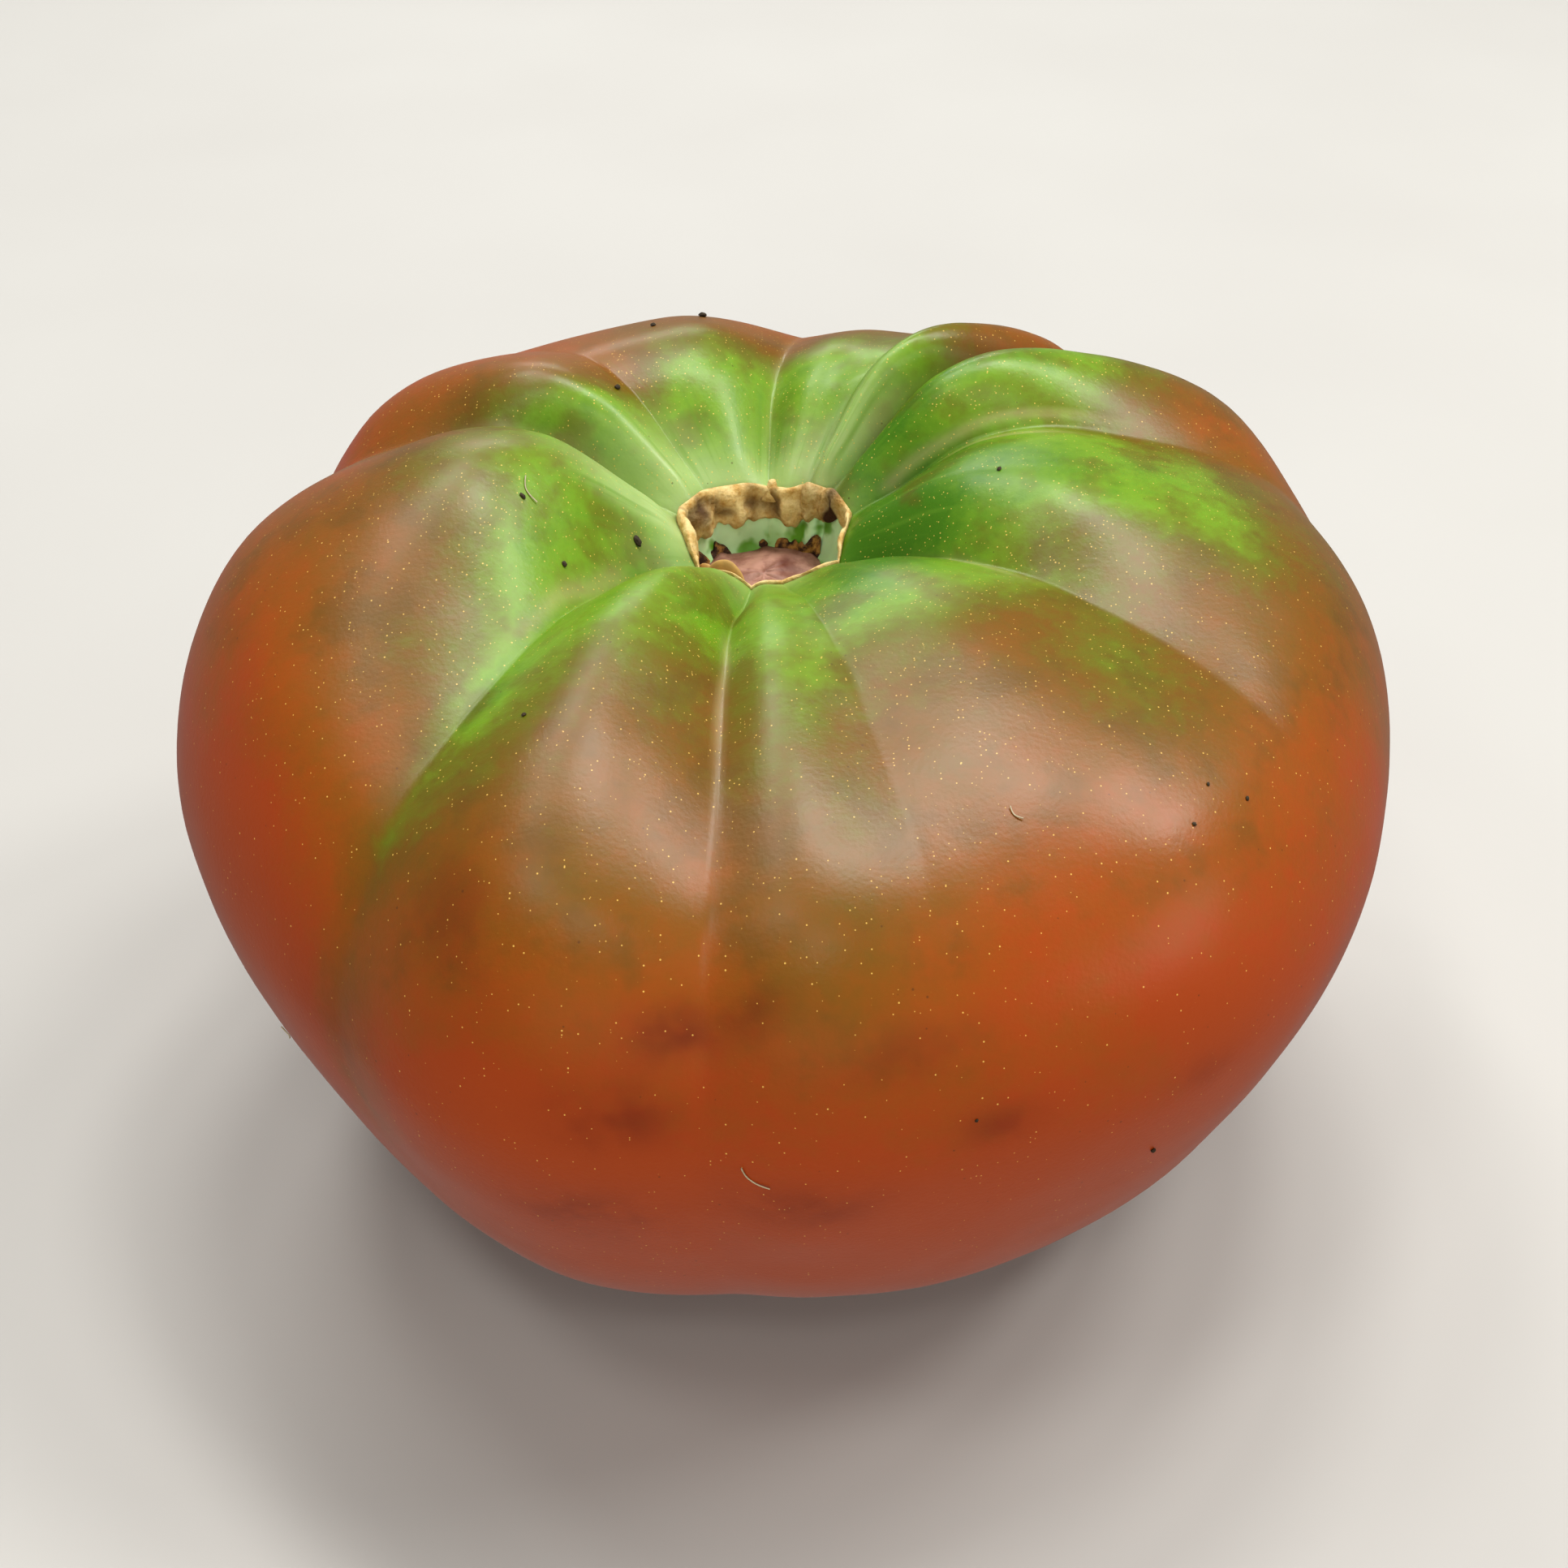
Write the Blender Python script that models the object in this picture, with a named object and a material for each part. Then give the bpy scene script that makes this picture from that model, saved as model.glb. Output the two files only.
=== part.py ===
"""A whole ribbed beefsteak tomato, as picked, resting on its own flat spot with the stem scar up.

The fruit is one closed solid. Its skin is a grid of rings (stations down a rib) and spokes
(azimuths round the stem). A meridian profile gives the swelling of an average rib, and each rib
then reaches further out or stands higher than the others. Between ribs a crease sinks into the
skin, sharp beside the stem and fading into a soft valley lower down. The stem scar is a shallow
pit in the top, and a flat ring round the blossom end is what the fruit stands on.

+Z is up. The origin is the bottom centre of the fruit's box, and -Y is the front.
"""
import math

import bmesh
import bpy

MM = 0.001                      # the sizes below are in millimetres

# Driving sizes
ACROSS = 91.0                   # width of the fruit at an average rib
HEIGHT = 57.5                   # height of an average rib's crest above the table
LEAN = (-3.9, 6.5)              # how far the stem scar sits off the middle, along X and Y
PIT_DEPTH = 4.2                 # depth of the stem scar's floor below its rim
PIT_FLOOR_SHARE = 0.80          # radius of the pit's floor, as a share of its rim's

# The meridian from the stem scar's rim down to the blossom end, as shares:
# (out of half ACROSS, up of HEIGHT, of each crease's depth, of each rib's rise)
STATIONS = (
    (0.139, 0.868, 0.25, 0.30),
    (0.198, 0.912, 0.80, 0.60),
    (0.352, 0.990, 1.00, 1.00),
    (0.555, 1.000, 0.90, 0.90),
    (0.868, 0.895, 0.68, 0.50),
    (1.000, 0.648, 0.48, 0.15),
    (0.902, 0.338, 0.28, 0.00),
    (0.745, 0.122, 0.14, 0.00),
    (0.500, 0.032, 0.08, 0.00),
    (0.280, 0.000, 0.00, 0.00),
    (0.130, 0.000, 0.00, 0.00),
    (0.050, 0.012, 0.00, 0.00),
)

# The ribs, going round from the front towards the right. Each row starts at a crease:
# (azimuth of the crease in degrees, its depth, the station where it has faded out,
#  the reach of the rib after it as a share of ACROSS, the rib's rise above HEIGHT)
RIBS = (
    (-7, 2.6, 11.0, 1.13, -3.0),
    (12, 0.7, 7.0, 1.12, -1.8),
    (54, 3.0, 5.4, 1.05, 0.6),
    (100, 3.0, 6.0, 1.04, 3.0),
    (130, 4.2, 7.7, 0.93, 2.4),
    (146, 1.6, 6.2, 0.89, -1.0),
    (177, 2.2, 9.2, 0.93, 0.0),
    (224, 1.3, 6.2, 1.02, 0.8),
    (253, 4.1, 8.7, 1.09, 3.2),
    (322, 4.2, 7.8, 1.17, -0.6),
)
FADE_SPAN = 3.0                 # stations over which a crease fades out
SHARP_AT_TOP = 0.75             # power of the rib's bulge beside the stem: under 1 is a sharp crease
SHARPNESS_PER_STATION = 0.12    # how much that power grows at each station down

# Mesh density
SPOKE_STEP = 4.0                # degrees between spokes, about
FEWEST_SPOKES = 5               # spokes in the narrowest rib
RINGS_PER_STATION = 3


def smooth_step(value):
    """0 below 0, 1 above 1, and an even S between."""
    value = min(max(value, 0.0), 1.0)
    return value * value * (3 - 2 * value)


def station_values(station):
    """The four shares at a station number, on a Catmull-Rom curve through STATIONS."""
    last = len(STATIONS) - 1
    start = min(int(station), last - 1)
    part = station - start
    here, after = STATIONS[start], STATIONS[start + 1]
    before = STATIONS[start - 1] if start else [2 * a - b for a, b in zip(here, after)]
    beyond = STATIONS[start + 2] if start + 2 <= last else [2 * b - a for a, b in zip(here, after)]
    return [
        0.5 * (2 * a + (b - z) * part + (2 * z - 5 * a + 4 * b - c) * part**2
               + (3 * a - z - 3 * b + c) * part**3)
        for z, a, b, c in zip(before, here, after, beyond)
    ]


def eased_round(azimuth, starts, values):
    """A value given at some azimuths, eased between them. Also gives the share from one to the next."""
    turned = (azimuth - starts[0]) % 360
    steps = [(start - starts[0]) % 360 for start in starts] + [360]
    index = max(i for i in range(len(starts)) if steps[i] <= turned)
    share = (turned - steps[index]) / (steps[index + 1] - steps[index])
    ease = 0.5 - 0.5 * math.cos(math.pi * share)
    following = values[(index + 1) % len(values)]
    return values[index] * (1 - ease) + following * ease, share


def rib_middles():
    """The azimuth of each rib's crest."""
    starts = [rib[0] for rib in RIBS]
    ends = starts[1:] + [starts[0] + 360]
    return [(start + end) / 2 for start, end in zip(starts, ends)]


def meridian(azimuth, station):
    """Distance from the stem axis and height, before the crease sinks the skin."""
    out, up, _, rise_share = station_values(station)
    middles = rib_middles()
    reach, _ = eased_round(azimuth, middles, [rib[3] for rib in RIBS])
    rise, _ = eased_round(azimuth, middles, [rib[4] for rib in RIBS])
    return out * reach * ACROSS / 2, up * HEIGHT + rise * rise_share


def skin_point(azimuth, station):
    """A point of the skin, in millimetres."""
    out, up, crease_share, _ = station_values(station)
    radius, height = meridian(azimuth, station)

    starts = [rib[0] for rib in RIBS]
    depth, share = eased_round(azimuth, starts, [rib[1] for rib in RIBS])
    fades_at, _ = eased_round(azimuth, starts, [rib[2] for rib in RIBS])
    bulge = math.sin(math.pi * share) ** (SHARP_AT_TOP + SHARPNESS_PER_STATION * station)
    sink = depth * crease_share * (1 - bulge) * smooth_step((fades_at - station) / FADE_SPAN)

    # the crease sinks square to the meridian
    nudge = 0.01
    before = meridian(azimuth, max(station - nudge, 0))
    after = meridian(azimuth, min(station + nudge, len(STATIONS) - 1))
    along = (after[0] - before[0], after[1] - before[1])
    length = math.hypot(*along)
    radius += sink * along[1] / length
    height = max(height - sink * along[0] / length, 0.0)

    # the stem axis leans, so the upper stations move across with it
    shift = max(1 - out, 0) * min(max(2 * up - 1, 0), 1)
    turn = math.radians(azimuth)
    return (radius * math.sin(turn) + LEAN[0] * shift, LEAN[1] * shift - radius * math.cos(turn), height)


def spokes():
    """Azimuths with one on every crease, closer together beside it."""
    azimuths = []
    starts = [rib[0] for rib in RIBS]
    for start, end in zip(starts, starts[1:] + [starts[0] + 360]):
        count = max(FEWEST_SPOKES, round((end - start) / SPOKE_STEP))
        for step in range(count):
            ease = 0.5 - 0.5 * math.cos(math.pi * step / count)
            azimuths.append(start + (end - start) * (0.4 * step / count + 0.6 * ease))
    return azimuths


def pit_rings(rim):
    """The stem scar's wall and floor inside its rim, as rings of points from the floor up."""
    centre = [sum(point[axis] for point in rim) / len(rim) for axis in range(3)]
    bottom = min(point[2] for point in rim) - PIT_DEPTH
    rings = []
    for share, drop in ((0.4, 1.0), (PIT_FLOOR_SHARE, 1.0), (0.92, 0.5)):
        ring = []
        for x, y, z in rim:
            ring.append((centre[0] + (x - centre[0]) * share,
                         centre[1] + (y - centre[1]) * share,
                         z + (bottom - z) * drop))
        rings.append(ring)
    return rings, (centre[0], centre[1], bottom)


def centred(rings):
    """The rings moved so that their box is centred on the Z axis and stands at zero height."""
    points = [point for ring in rings for point in ring]
    lowest = [min(point[axis] for point in points) for axis in range(3)]
    highest = [max(point[axis] for point in points) for axis in range(3)]
    shift = ((lowest[0] + highest[0]) / 2, (lowest[1] + highest[1]) / 2, lowest[2])
    return [[tuple(point[axis] - shift[axis] for axis in range(3)) for point in ring] for ring in rings]


def fruit_mesh():
    """The closed skin: stem pit, ribbed flanks and blossom end."""
    azimuths = spokes()
    ring_count = (len(STATIONS) - 1) * RINGS_PER_STATION + 1
    skin = [[skin_point(azimuth, ring / RINGS_PER_STATION) for azimuth in azimuths]
            for ring in range(ring_count)]
    pit, pit_middle = pit_rings(skin[0])
    rings = [[pit_middle]] + pit + skin
    blossom_end = [sum(point[axis] for point in rings[-1]) / len(azimuths) for axis in range(3)]
    rings = centred(rings + [[tuple(blossom_end)]])

    mesh = bmesh.new()
    levels = [[mesh.verts.new([value * MM for value in point]) for point in ring] for ring in rings]
    count = len(azimuths)
    for upper, lower in zip(levels, levels[1:]):
        for here in range(count):
            beyond = (here + 1) % count
            if len(upper) == 1:
                mesh.faces.new((upper[0], lower[here], lower[beyond]))
            elif len(lower) == 1:
                mesh.faces.new((upper[here], lower[0], upper[beyond]))
            else:
                mesh.faces.new((upper[here], lower[here], lower[beyond], upper[beyond]))
    bmesh.ops.triangulate(mesh, faces=mesh.faces)
    bmesh.ops.recalc_face_normals(mesh, faces=mesh.faces)
    data = bpy.data.meshes.new("tomato")
    mesh.to_mesh(data)
    mesh.free()
    data.shade_smooth()
    return data


def ripening_skin():
    """Satin tomato skin, between green and red."""
    material = bpy.data.materials.new("ripening_tomato_skin")
    material.use_nodes = True
    shader = material.node_tree.nodes["Principled BSDF"]
    shader.inputs["Base Color"].default_value = (0.42, 0.10, 0.02, 1.0)
    shader.inputs["Roughness"].default_value = 0.32
    shader.inputs["Metallic"].default_value = 0.0
    return material


def main():
    for thing in list(bpy.data.objects):
        bpy.data.objects.remove(thing)
    fruit = bpy.data.objects.new("tomato", fruit_mesh())
    fruit.data.materials.append(ripening_skin())
    bpy.context.scene.collection.objects.link(fruit)


main()
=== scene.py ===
"""A ripening ribbed beefsteak tomato, built over its packed solid.

One operator makes each piece: the ribbed skin, the parts of the torn stem scar, the blossom scar
and the crumbs of soil. Run as a script, the file registers them, calls them in order and leaves
the fruit on a pale floor under soft light. Lengths in the constants below are in millimetres
where their comment says so, and azimuths are degrees round the stem from the front towards the
right. A station is a place down a rib: 0 at the stem scar's rim and 11 at the blossom end.
"""
import math
from functools import lru_cache, partial

import bmesh
import bpy
import numpy as np
from bpy.props import FloatProperty, FloatVectorProperty, IntProperty, PointerProperty
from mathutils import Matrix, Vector


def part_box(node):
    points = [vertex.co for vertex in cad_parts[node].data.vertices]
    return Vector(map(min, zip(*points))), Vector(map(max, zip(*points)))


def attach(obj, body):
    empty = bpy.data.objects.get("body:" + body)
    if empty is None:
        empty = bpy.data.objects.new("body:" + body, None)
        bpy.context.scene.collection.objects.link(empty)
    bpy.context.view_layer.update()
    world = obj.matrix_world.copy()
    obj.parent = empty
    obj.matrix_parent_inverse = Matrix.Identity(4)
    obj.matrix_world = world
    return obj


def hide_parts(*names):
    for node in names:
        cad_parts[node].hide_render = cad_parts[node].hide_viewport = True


bl_info = {
    "name": "Ripening Ribbed Tomato",
    "version": (1, 0, 0),
    "blender": (4, 5, 0),
    "location": "View3D > Sidebar > Tomato",
    "description": "Builds a ribbed tomato with a torn stem scar, half way from green to red",
    "category": "Add Mesh",
}

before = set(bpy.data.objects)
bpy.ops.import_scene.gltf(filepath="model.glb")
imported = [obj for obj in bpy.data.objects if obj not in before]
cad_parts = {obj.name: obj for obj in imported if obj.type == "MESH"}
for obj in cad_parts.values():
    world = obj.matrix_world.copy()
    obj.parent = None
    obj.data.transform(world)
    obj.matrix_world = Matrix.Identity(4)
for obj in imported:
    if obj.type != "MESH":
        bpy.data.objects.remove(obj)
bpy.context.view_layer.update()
NODE = "tomato"
BODY = "root"

MM = 0.001

# The meridian from the stem scar's rim down to the blossom end, as shares:
# (out of half the width, up of the height, of each crease's depth, of each rib's rise)
STATIONS = np.array((
    (0.139, 0.868, 0.25, 0.30),
    (0.198, 0.912, 0.80, 0.60),
    (0.352, 0.990, 1.00, 1.00),
    (0.555, 1.000, 0.90, 0.90),
    (0.868, 0.895, 0.68, 0.50),
    (1.000, 0.648, 0.48, 0.15),
    (0.902, 0.338, 0.28, 0.00),
    (0.745, 0.122, 0.14, 0.00),
    (0.500, 0.032, 0.08, 0.00),
    (0.280, 0.000, 0.00, 0.00),
    (0.130, 0.000, 0.00, 0.00),
    (0.050, 0.012, 0.00, 0.00),
))
LAST_STATION = len(STATIONS) - 1

# The ribs, from the front towards the right. Each row starts at a crease:
# (azimuth of the crease, its depth in mm, the station where it has faded out,
#  the reach of the rib after it as a share of the width, the rib's rise in mm)
RIBS = np.array((
    (-7, 2.6, 11.0, 1.13, -3.0),
    (12, 0.7, 7.0, 1.12, -1.8),
    (54, 3.0, 5.4, 1.05, 0.6),
    (100, 3.0, 6.0, 1.04, 3.0),
    (130, 4.2, 7.7, 0.93, 2.4),
    (146, 1.6, 6.2, 0.89, -1.0),
    (177, 2.2, 9.2, 0.93, 0.0),
    (224, 1.3, 6.2, 1.02, 0.8),
    (253, 4.1, 8.7, 1.09, 3.2),
    (322, 4.2, 7.8, 1.17, -0.6),
))
CREASES = RIBS[:, 0]
CRESTS = (CREASES + np.append(CREASES[1:], CREASES[0] + 360)) / 2
LEAN = (-3.9, 6.5)              # mm that the stem scar sits off the middle, along X and Y
FADE_SPAN = 3.0                 # stations over which a crease fades out
SHARP_AT_TOP = 0.75             # power of the rib's bulge beside the stem: under 1 is sharp
SHARPNESS_PER_STATION = 0.12    # how much that power grows at each station down
PIT_DEPTH = 4.2                 # mm from the scar's rim to its floor

# How low the green reaches: (azimuth, the station where olive turns to brown)
GREEN_REACH = np.array((
    (-180, 2.35), (-165, 2.35), (-152, 2.35), (-140, 1.80), (-126, 1.85), (-112, 2.5), (-104, 2.7),
    (-90, 2.4), (-75, 2.30), (-62, 2.60), (-50, 2.90), (-42, 3.0), (-37, 3.8), (-32, 3.3),
    (-24, 2.65), (-14, 2.60), (-7, 2.6), (-1, 2.95), (6, 2.95), (14, 2.55), (24, 2.5), (34, 2.50),
    (44, 2.70), (52, 2.65), (58, 2.65), (66, 2.7), (74, 3.35), (86, 3.5), (96, 3.45), (105, 3.05),
    (115, 3.25), (126, 2.7), (136, 2.5), (146, 2.8), (160, 2.8), (172, 2.4),
))

# The pale skin beside the stem, partly painted light that lifts the shade round the scar:
# (azimuth, how pale, the station where it ends)
PALE_SKIN_AND_PAINTED_LIGHT = np.array((
    (-175, 0.60, 1.6), (-155, 0.60, 1.5), (-135, 0.60, 1.8), (-115, 0.65, 2.0), (-90, 0.75, 2.1),
    (-75, 0.75, 2.1), (-65, 0.85, 2.0), (-55, 0.60, 1.5), (-45, 0.35, 1.7), (-15, 0.35, 1.6),
    (15, 0.30, 1.4), (35, 0.10, 1.0), (65, 0.0, 0.8), (88, 0.0, 0.8), (105, 0.25, 1.2),
    (117, 0.15, 1.2), (135, 0.65, 2.3), (155, 0.55, 1.8), (175, 0.70, 1.7),
))

# Soft blotches on the skin: (azimuth, station, half spread in degrees,
# half spread in stations, amount). Ripe ones redden the skin, or green it if below zero.
RIPE_BLOTCHES = (
    (-45, 4.6, 14, 0.7, 0.14), (-60, 4.9, 12, 0.8, 0.10), (-20, 5.2, 12, 0.5, 0.10),
    (-18, 3.9, 12, 0.5, -0.14), (20, 3.4, 9, 0.4, -0.10), (44, 3.9, 14, 0.5, -0.14),
    (4, 4.2, 8, 0.4, -0.10), (-75, 3.5, 12, 0.6, -0.08), (105, 3.6, 9, 0.5, 0.16),
    (45, 3.45, 8, 0.3, -0.10), (2, 4.0, 6, 0.4, -0.06), (-36, 3.7, 4, 0.5, -0.04),
    (66, 3.9, 10, 0.7, -0.09), (20, 4.9, 10, 0.35, -0.06), (-8, 6.3, 18, 0.4, -0.10),
    (40, 4.5, 20, 0.5, 0.05), (-88, 3.1, 7, 0.7, 0.10), (-130, 2.1, 10, 0.5, 0.12),
    (-165, 2.3, 9, 0.35, -0.10), (85, 2.8, 12, 0.7, -0.04), (62, 1.0, 12, 1.1, -0.24),
    (88, 1.0, 14, 1.0, -0.24), (116, 1.6, 6, 1.3, -0.20), (27, 1.7, 10, 0.5, -0.18),
    (40, 1.5, 8, 0.6, -0.18), (200, 5.0, 30, 0.8, 0.08), (150, 4.8, 22, 0.7, -0.06),
    (250, 4.2, 16, 0.6, 0.10), (110, 5.3, 20, 0.6, 0.08),
)
DARK_BLOTCHES = (
    (-9, 4.45, 3.2, 0.13, 0.75), (-13, 4.85, 4.0, 0.16, 0.60), (-3, 4.35, 2.5, 0.12, 0.50),
    (-27, 4.15, 4.5, 0.30, 0.40), (15, 4.95, 3.0, 0.10, 0.45), (1, 5.35, 5.0, 0.14, 0.45),
    (-16, 5.5, 5.0, 0.18, 0.50), (8, 4.55, 6.0, 0.14, 0.35), (33, 5.05, 3.0, 0.10, 0.30),
    (-38, 5.0, 6.0, 0.25, 0.25), (52, 5.2, 5.0, 0.20, 0.20), (140, 4.6, 6.0, 0.25, 0.35),
    (205, 4.4, 8.0, 0.30, 0.30), (-110, 4.7, 6.0, 0.25, 0.30), (100, 5.0, 6.0, 0.20, 0.25),
)

# Fine grooves that run down a crease, each with a painted highlight along it: (azimuth, first
# station, last station, half width in mm, amount of painted highlight, depth in mm)
CREASE_GROOVES_AND_HIGHLIGHTS = (
    (-7.0, 1.9, 3.7, 0.32, 0.26, 0.10),
    (-40.5, 1.2, 3.3, 0.60, 0.28, 0.05),
    (53.0, 1.2, 3.0, 0.40, 0.25, 0.07),
    (97.6, 0.6, 3.2, 0.28, 0.30, 0.08),
    (102.4, 0.6, 3.4, 0.28, 0.30, 0.08),
    (131.5, 1.0, 3.4, 0.30, 0.14, 0.05),
    (177.0, 0.8, 3.8, 0.45, 0.12, 0.04),
    (252.0, 1.0, 3.4, 0.45, 0.16, 0.05),
)

# The skin's fine grid
SPOKES = 344
FEWEST_SPOKES = 10              # spokes in the narrowest rib
RINGS_BETWEEN_STATIONS = (14, 24, 26, 34, 32, 30, 22, 16, 12, 8, 5)
# The bowl under the scar, from the rim inwards: (share of the rim's radius, share of the depth)
BOWL_UNDER_SCAR = ((0.985, 0.10), (0.96, 0.30), (0.935, 0.60), (0.90, 0.95), (0.82, 1.10),
                   (0.5, 1.12))
# What moves a skin point. The bowl and the two poles have none of it, because their place says all
MOVERS = ("out", "up", "rise", "sink_out", "sink_up", "soft", "groove")

# Rim of the stem scar: the cork grows all round it, thick behind and at the left.
# (azimuth, width of the band in mm, thickness in mm)
CORK_BAND = np.array((
    (-180, 2.9, 0.95), (-150, 3.0, 1.00), (-120, 3.3, 1.10), (-90, 3.3, 1.05), (-66, 2.5, 0.95),
    (-52, 1.3, 0.70), (-38, 0.55, 0.36), (0, 0.38, 0.28), (45, 0.42, 0.30), (80, 0.80, 0.42),
    (104, 1.40, 0.70), (120, 2.6, 0.95), (150, 2.8, 1.00),
))
# Weathered brown places on the cork: (azimuth, 0, half spread in degrees, 1, amount)
CORK_BROWN = ((116, 0, 9, 1, 0.9), (138, 0, 10, 1, 0.35), (-168, 0, 6, 1, 0.35),
              (-118, 0, 5, 1, 0.3))
# Torn tissue round the floor of the scar: (azimuth, half spread in degrees, height in mm)
TORN_TUFTS = ((-100, 18, 1.9), (-72, 14, 2.1), (-130, 14, 1.3), (160, 22, 1.4), (132, 15, 1.9),
              (186, 14, 0.9), (100, 14, 1.1))
CORK_SECTION = 26               # points round the section of the cork
# Rings of the flesh's face and back: (share of the rim's radius, share of the pit's depth)
FLESH_FACE = ((0.985, 0.05), (0.965, 0.18), (0.945, 0.34), (0.925, 0.50), (0.89, 0.68),
              (0.84, 0.84), (0.76, 0.95), (0.66, 1.00))
FLESH_BACK = ((0.66, 1.06), (0.80, 1.06), (0.90, 0.92), (0.94, 0.62), (0.97, 0.30))
# Rings of the core, as shares of the rim's radius
CORE_RINGS = (0.06, 0.14, 0.22, 0.30, 0.38, 0.46, 0.54, 0.62, 0.69, 0.75, 0.79)
# Section of the torn fibres: (share of their height, side in half thicknesses)
TORN_SECTION = ((0.0, 1.6), (0.35, 1.2), (0.7, 0.9), (1.0, 0.0), (0.7, -0.9), (0.35, -1.2),
                (0.0, -1.6))
# The knob on the rim: where it stands, and (radius in mm, level in mm) from its top down
NUB_AZIMUTH = 174.0
NUB_PROFILE = ((0.05, 1.35), (0.30, 1.25), (0.44, 0.95), (0.46, 0.55), (0.60, 0.15), (0.95, -0.35))
# The blossom scar: (share of its radius, how far it stands below the pole in mm)
BLOSSOM_PROFILE = ((0.1, 0.34), (0.35, 0.36), (0.65, 0.28), (0.9, 0.16), (1.0, 0.02), (0.9, -0.25),
                   (0.4, -0.3))

# Crumbs of soil lying on the skin: (azimuth, station, length in mm, width in mm)
SOIL_CRUMBS = (
    (-50.5, 1.20, 0.95, 0.55), (-131, 1.95, 0.70, 0.45), (-166, 3.35, 0.95, 0.60),
    (-58, 2.35, 0.60, 0.30), (-45, 2.2, 0.50, 0.35), (44, 4.05, 0.35, 0.25), (41, 3.9, 0.30, 0.22),
    (37, 4.0, 0.32, 0.25), (30, 5.5, 0.45, 0.35), (13, 4.9, 0.26, 0.20), (-29, 3.35, 0.35, 0.28),
    (75, 2.2, 0.45, 0.30), (205, 3.1, 0.60, 0.40), (160, 4.4, 0.55, 0.35), (-95, 5.2, 0.50, 0.40),
    (118, 5.4, 0.60, 0.35),
)
# Fibres of dry leaf hair on the skin: (azimuth, station, length in mm, heading in degrees)
DRY_FIBRES = (
    (-59, 2.25, 2.3, 70), (-52, 5.6, 1.9, -35), (-3, 5.15, 2.6, 15), (22, 3.7, 1.2, 50),
    (150, 4.9, 1.6, 20), (-120, 4.1, 1.4, -60),
)
FIBRE_STEPS = 12                # straight bits in a fibre


def linear(hex_colour):
    """An sRGB hex colour as linear RGBA."""
    parts = [int(hex_colour[at:at + 2], 16) / 255 for at in (1, 3, 5)]
    return tuple(part / 12.92 if part <= 0.04045 else ((part + 0.055) / 1.055) ** 2.4
                 for part in parts) + (1.0,)


def colour_property(name, description, hex_colour):
    """A colour that a user may change, given as hex."""
    return FloatVectorProperty(name=name, description=description, subtype="COLOR", size=4,
                               min=0.0, max=1.0, default=linear(hex_colour))


def length_property(name, description, millimetres):
    """A length that a user may change, given in millimetres."""
    return FloatProperty(name=name, description=description, default=millimetres * MM,
                         min=0.0, unit="LENGTH", precision=5)


def seed_property(description, default):
    """A seed that a user may change."""
    return IntProperty(name="Seed", description=description, default=default, min=0)


def share_property(name, description, default, most=1.0):
    """A share or strength that a user may change."""
    return FloatProperty(name=name, description=description, default=default, min=0.0, max=most,
                         subtype="FACTOR")


# ---- The rule of the fruit's shape ----

def smooth_step(value):
    """0 below 0, 1 above 1, and an even S between."""
    value = np.clip(value, 0.0, 1.0)
    return value * value * (3 - 2 * value)


def degrees_from(azimuth, middle):
    """How far azimuths are from a middle one, from -180 to 180."""
    return np.mod(azimuth - middle + 180, 360) - 180


def round_axis(turn, radius, level):
    """Points at a radius and a level round an upright axis, at azimuths in radians."""
    return np.stack(np.broadcast_arrays(radius * np.sin(turn), -radius * np.cos(turn), level), -1)


def unit(vectors):
    """The vectors, each made one long."""
    return vectors / np.linalg.norm(vectors, axis=1)[:, None]


def station_shares(station):
    """The four shares at each station number, on a Catmull-Rom curve through STATIONS."""
    ends = 2 * STATIONS[0] - STATIONS[1], 2 * STATIONS[-1] - STATIONS[-2]
    points = np.vstack([ends[0], STATIONS, ends[1]])
    start = np.minimum(np.floor(station).astype(int), LAST_STATION - 1)
    part = (station - start)[..., None]
    before, here, after, beyond = (points[start + step] for step in range(4))
    return 0.5 * (2 * here + (after - before) * part
                  + (2 * before - 5 * here + 4 * after - beyond) * part**2
                  + (3 * here - before - 3 * after + beyond) * part**3)


def eased_round(azimuth, starts, values):
    """Values given at some azimuths, eased between them, and the share from one to the next."""
    turned = np.mod(azimuth - starts[0], 360.0)
    steps = np.append(np.mod(starts - starts[0], 360.0), 360.0)
    index = np.clip(np.searchsorted(steps, turned, side="right") - 1, 0, len(starts) - 1)
    share = (turned - steps[index]) / (steps[index + 1] - steps[index])
    ease = 0.5 - 0.5 * np.cos(np.pi * share)
    return values[index] * (1 - ease) + values[(index + 1) % len(values)] * ease, share


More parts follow.
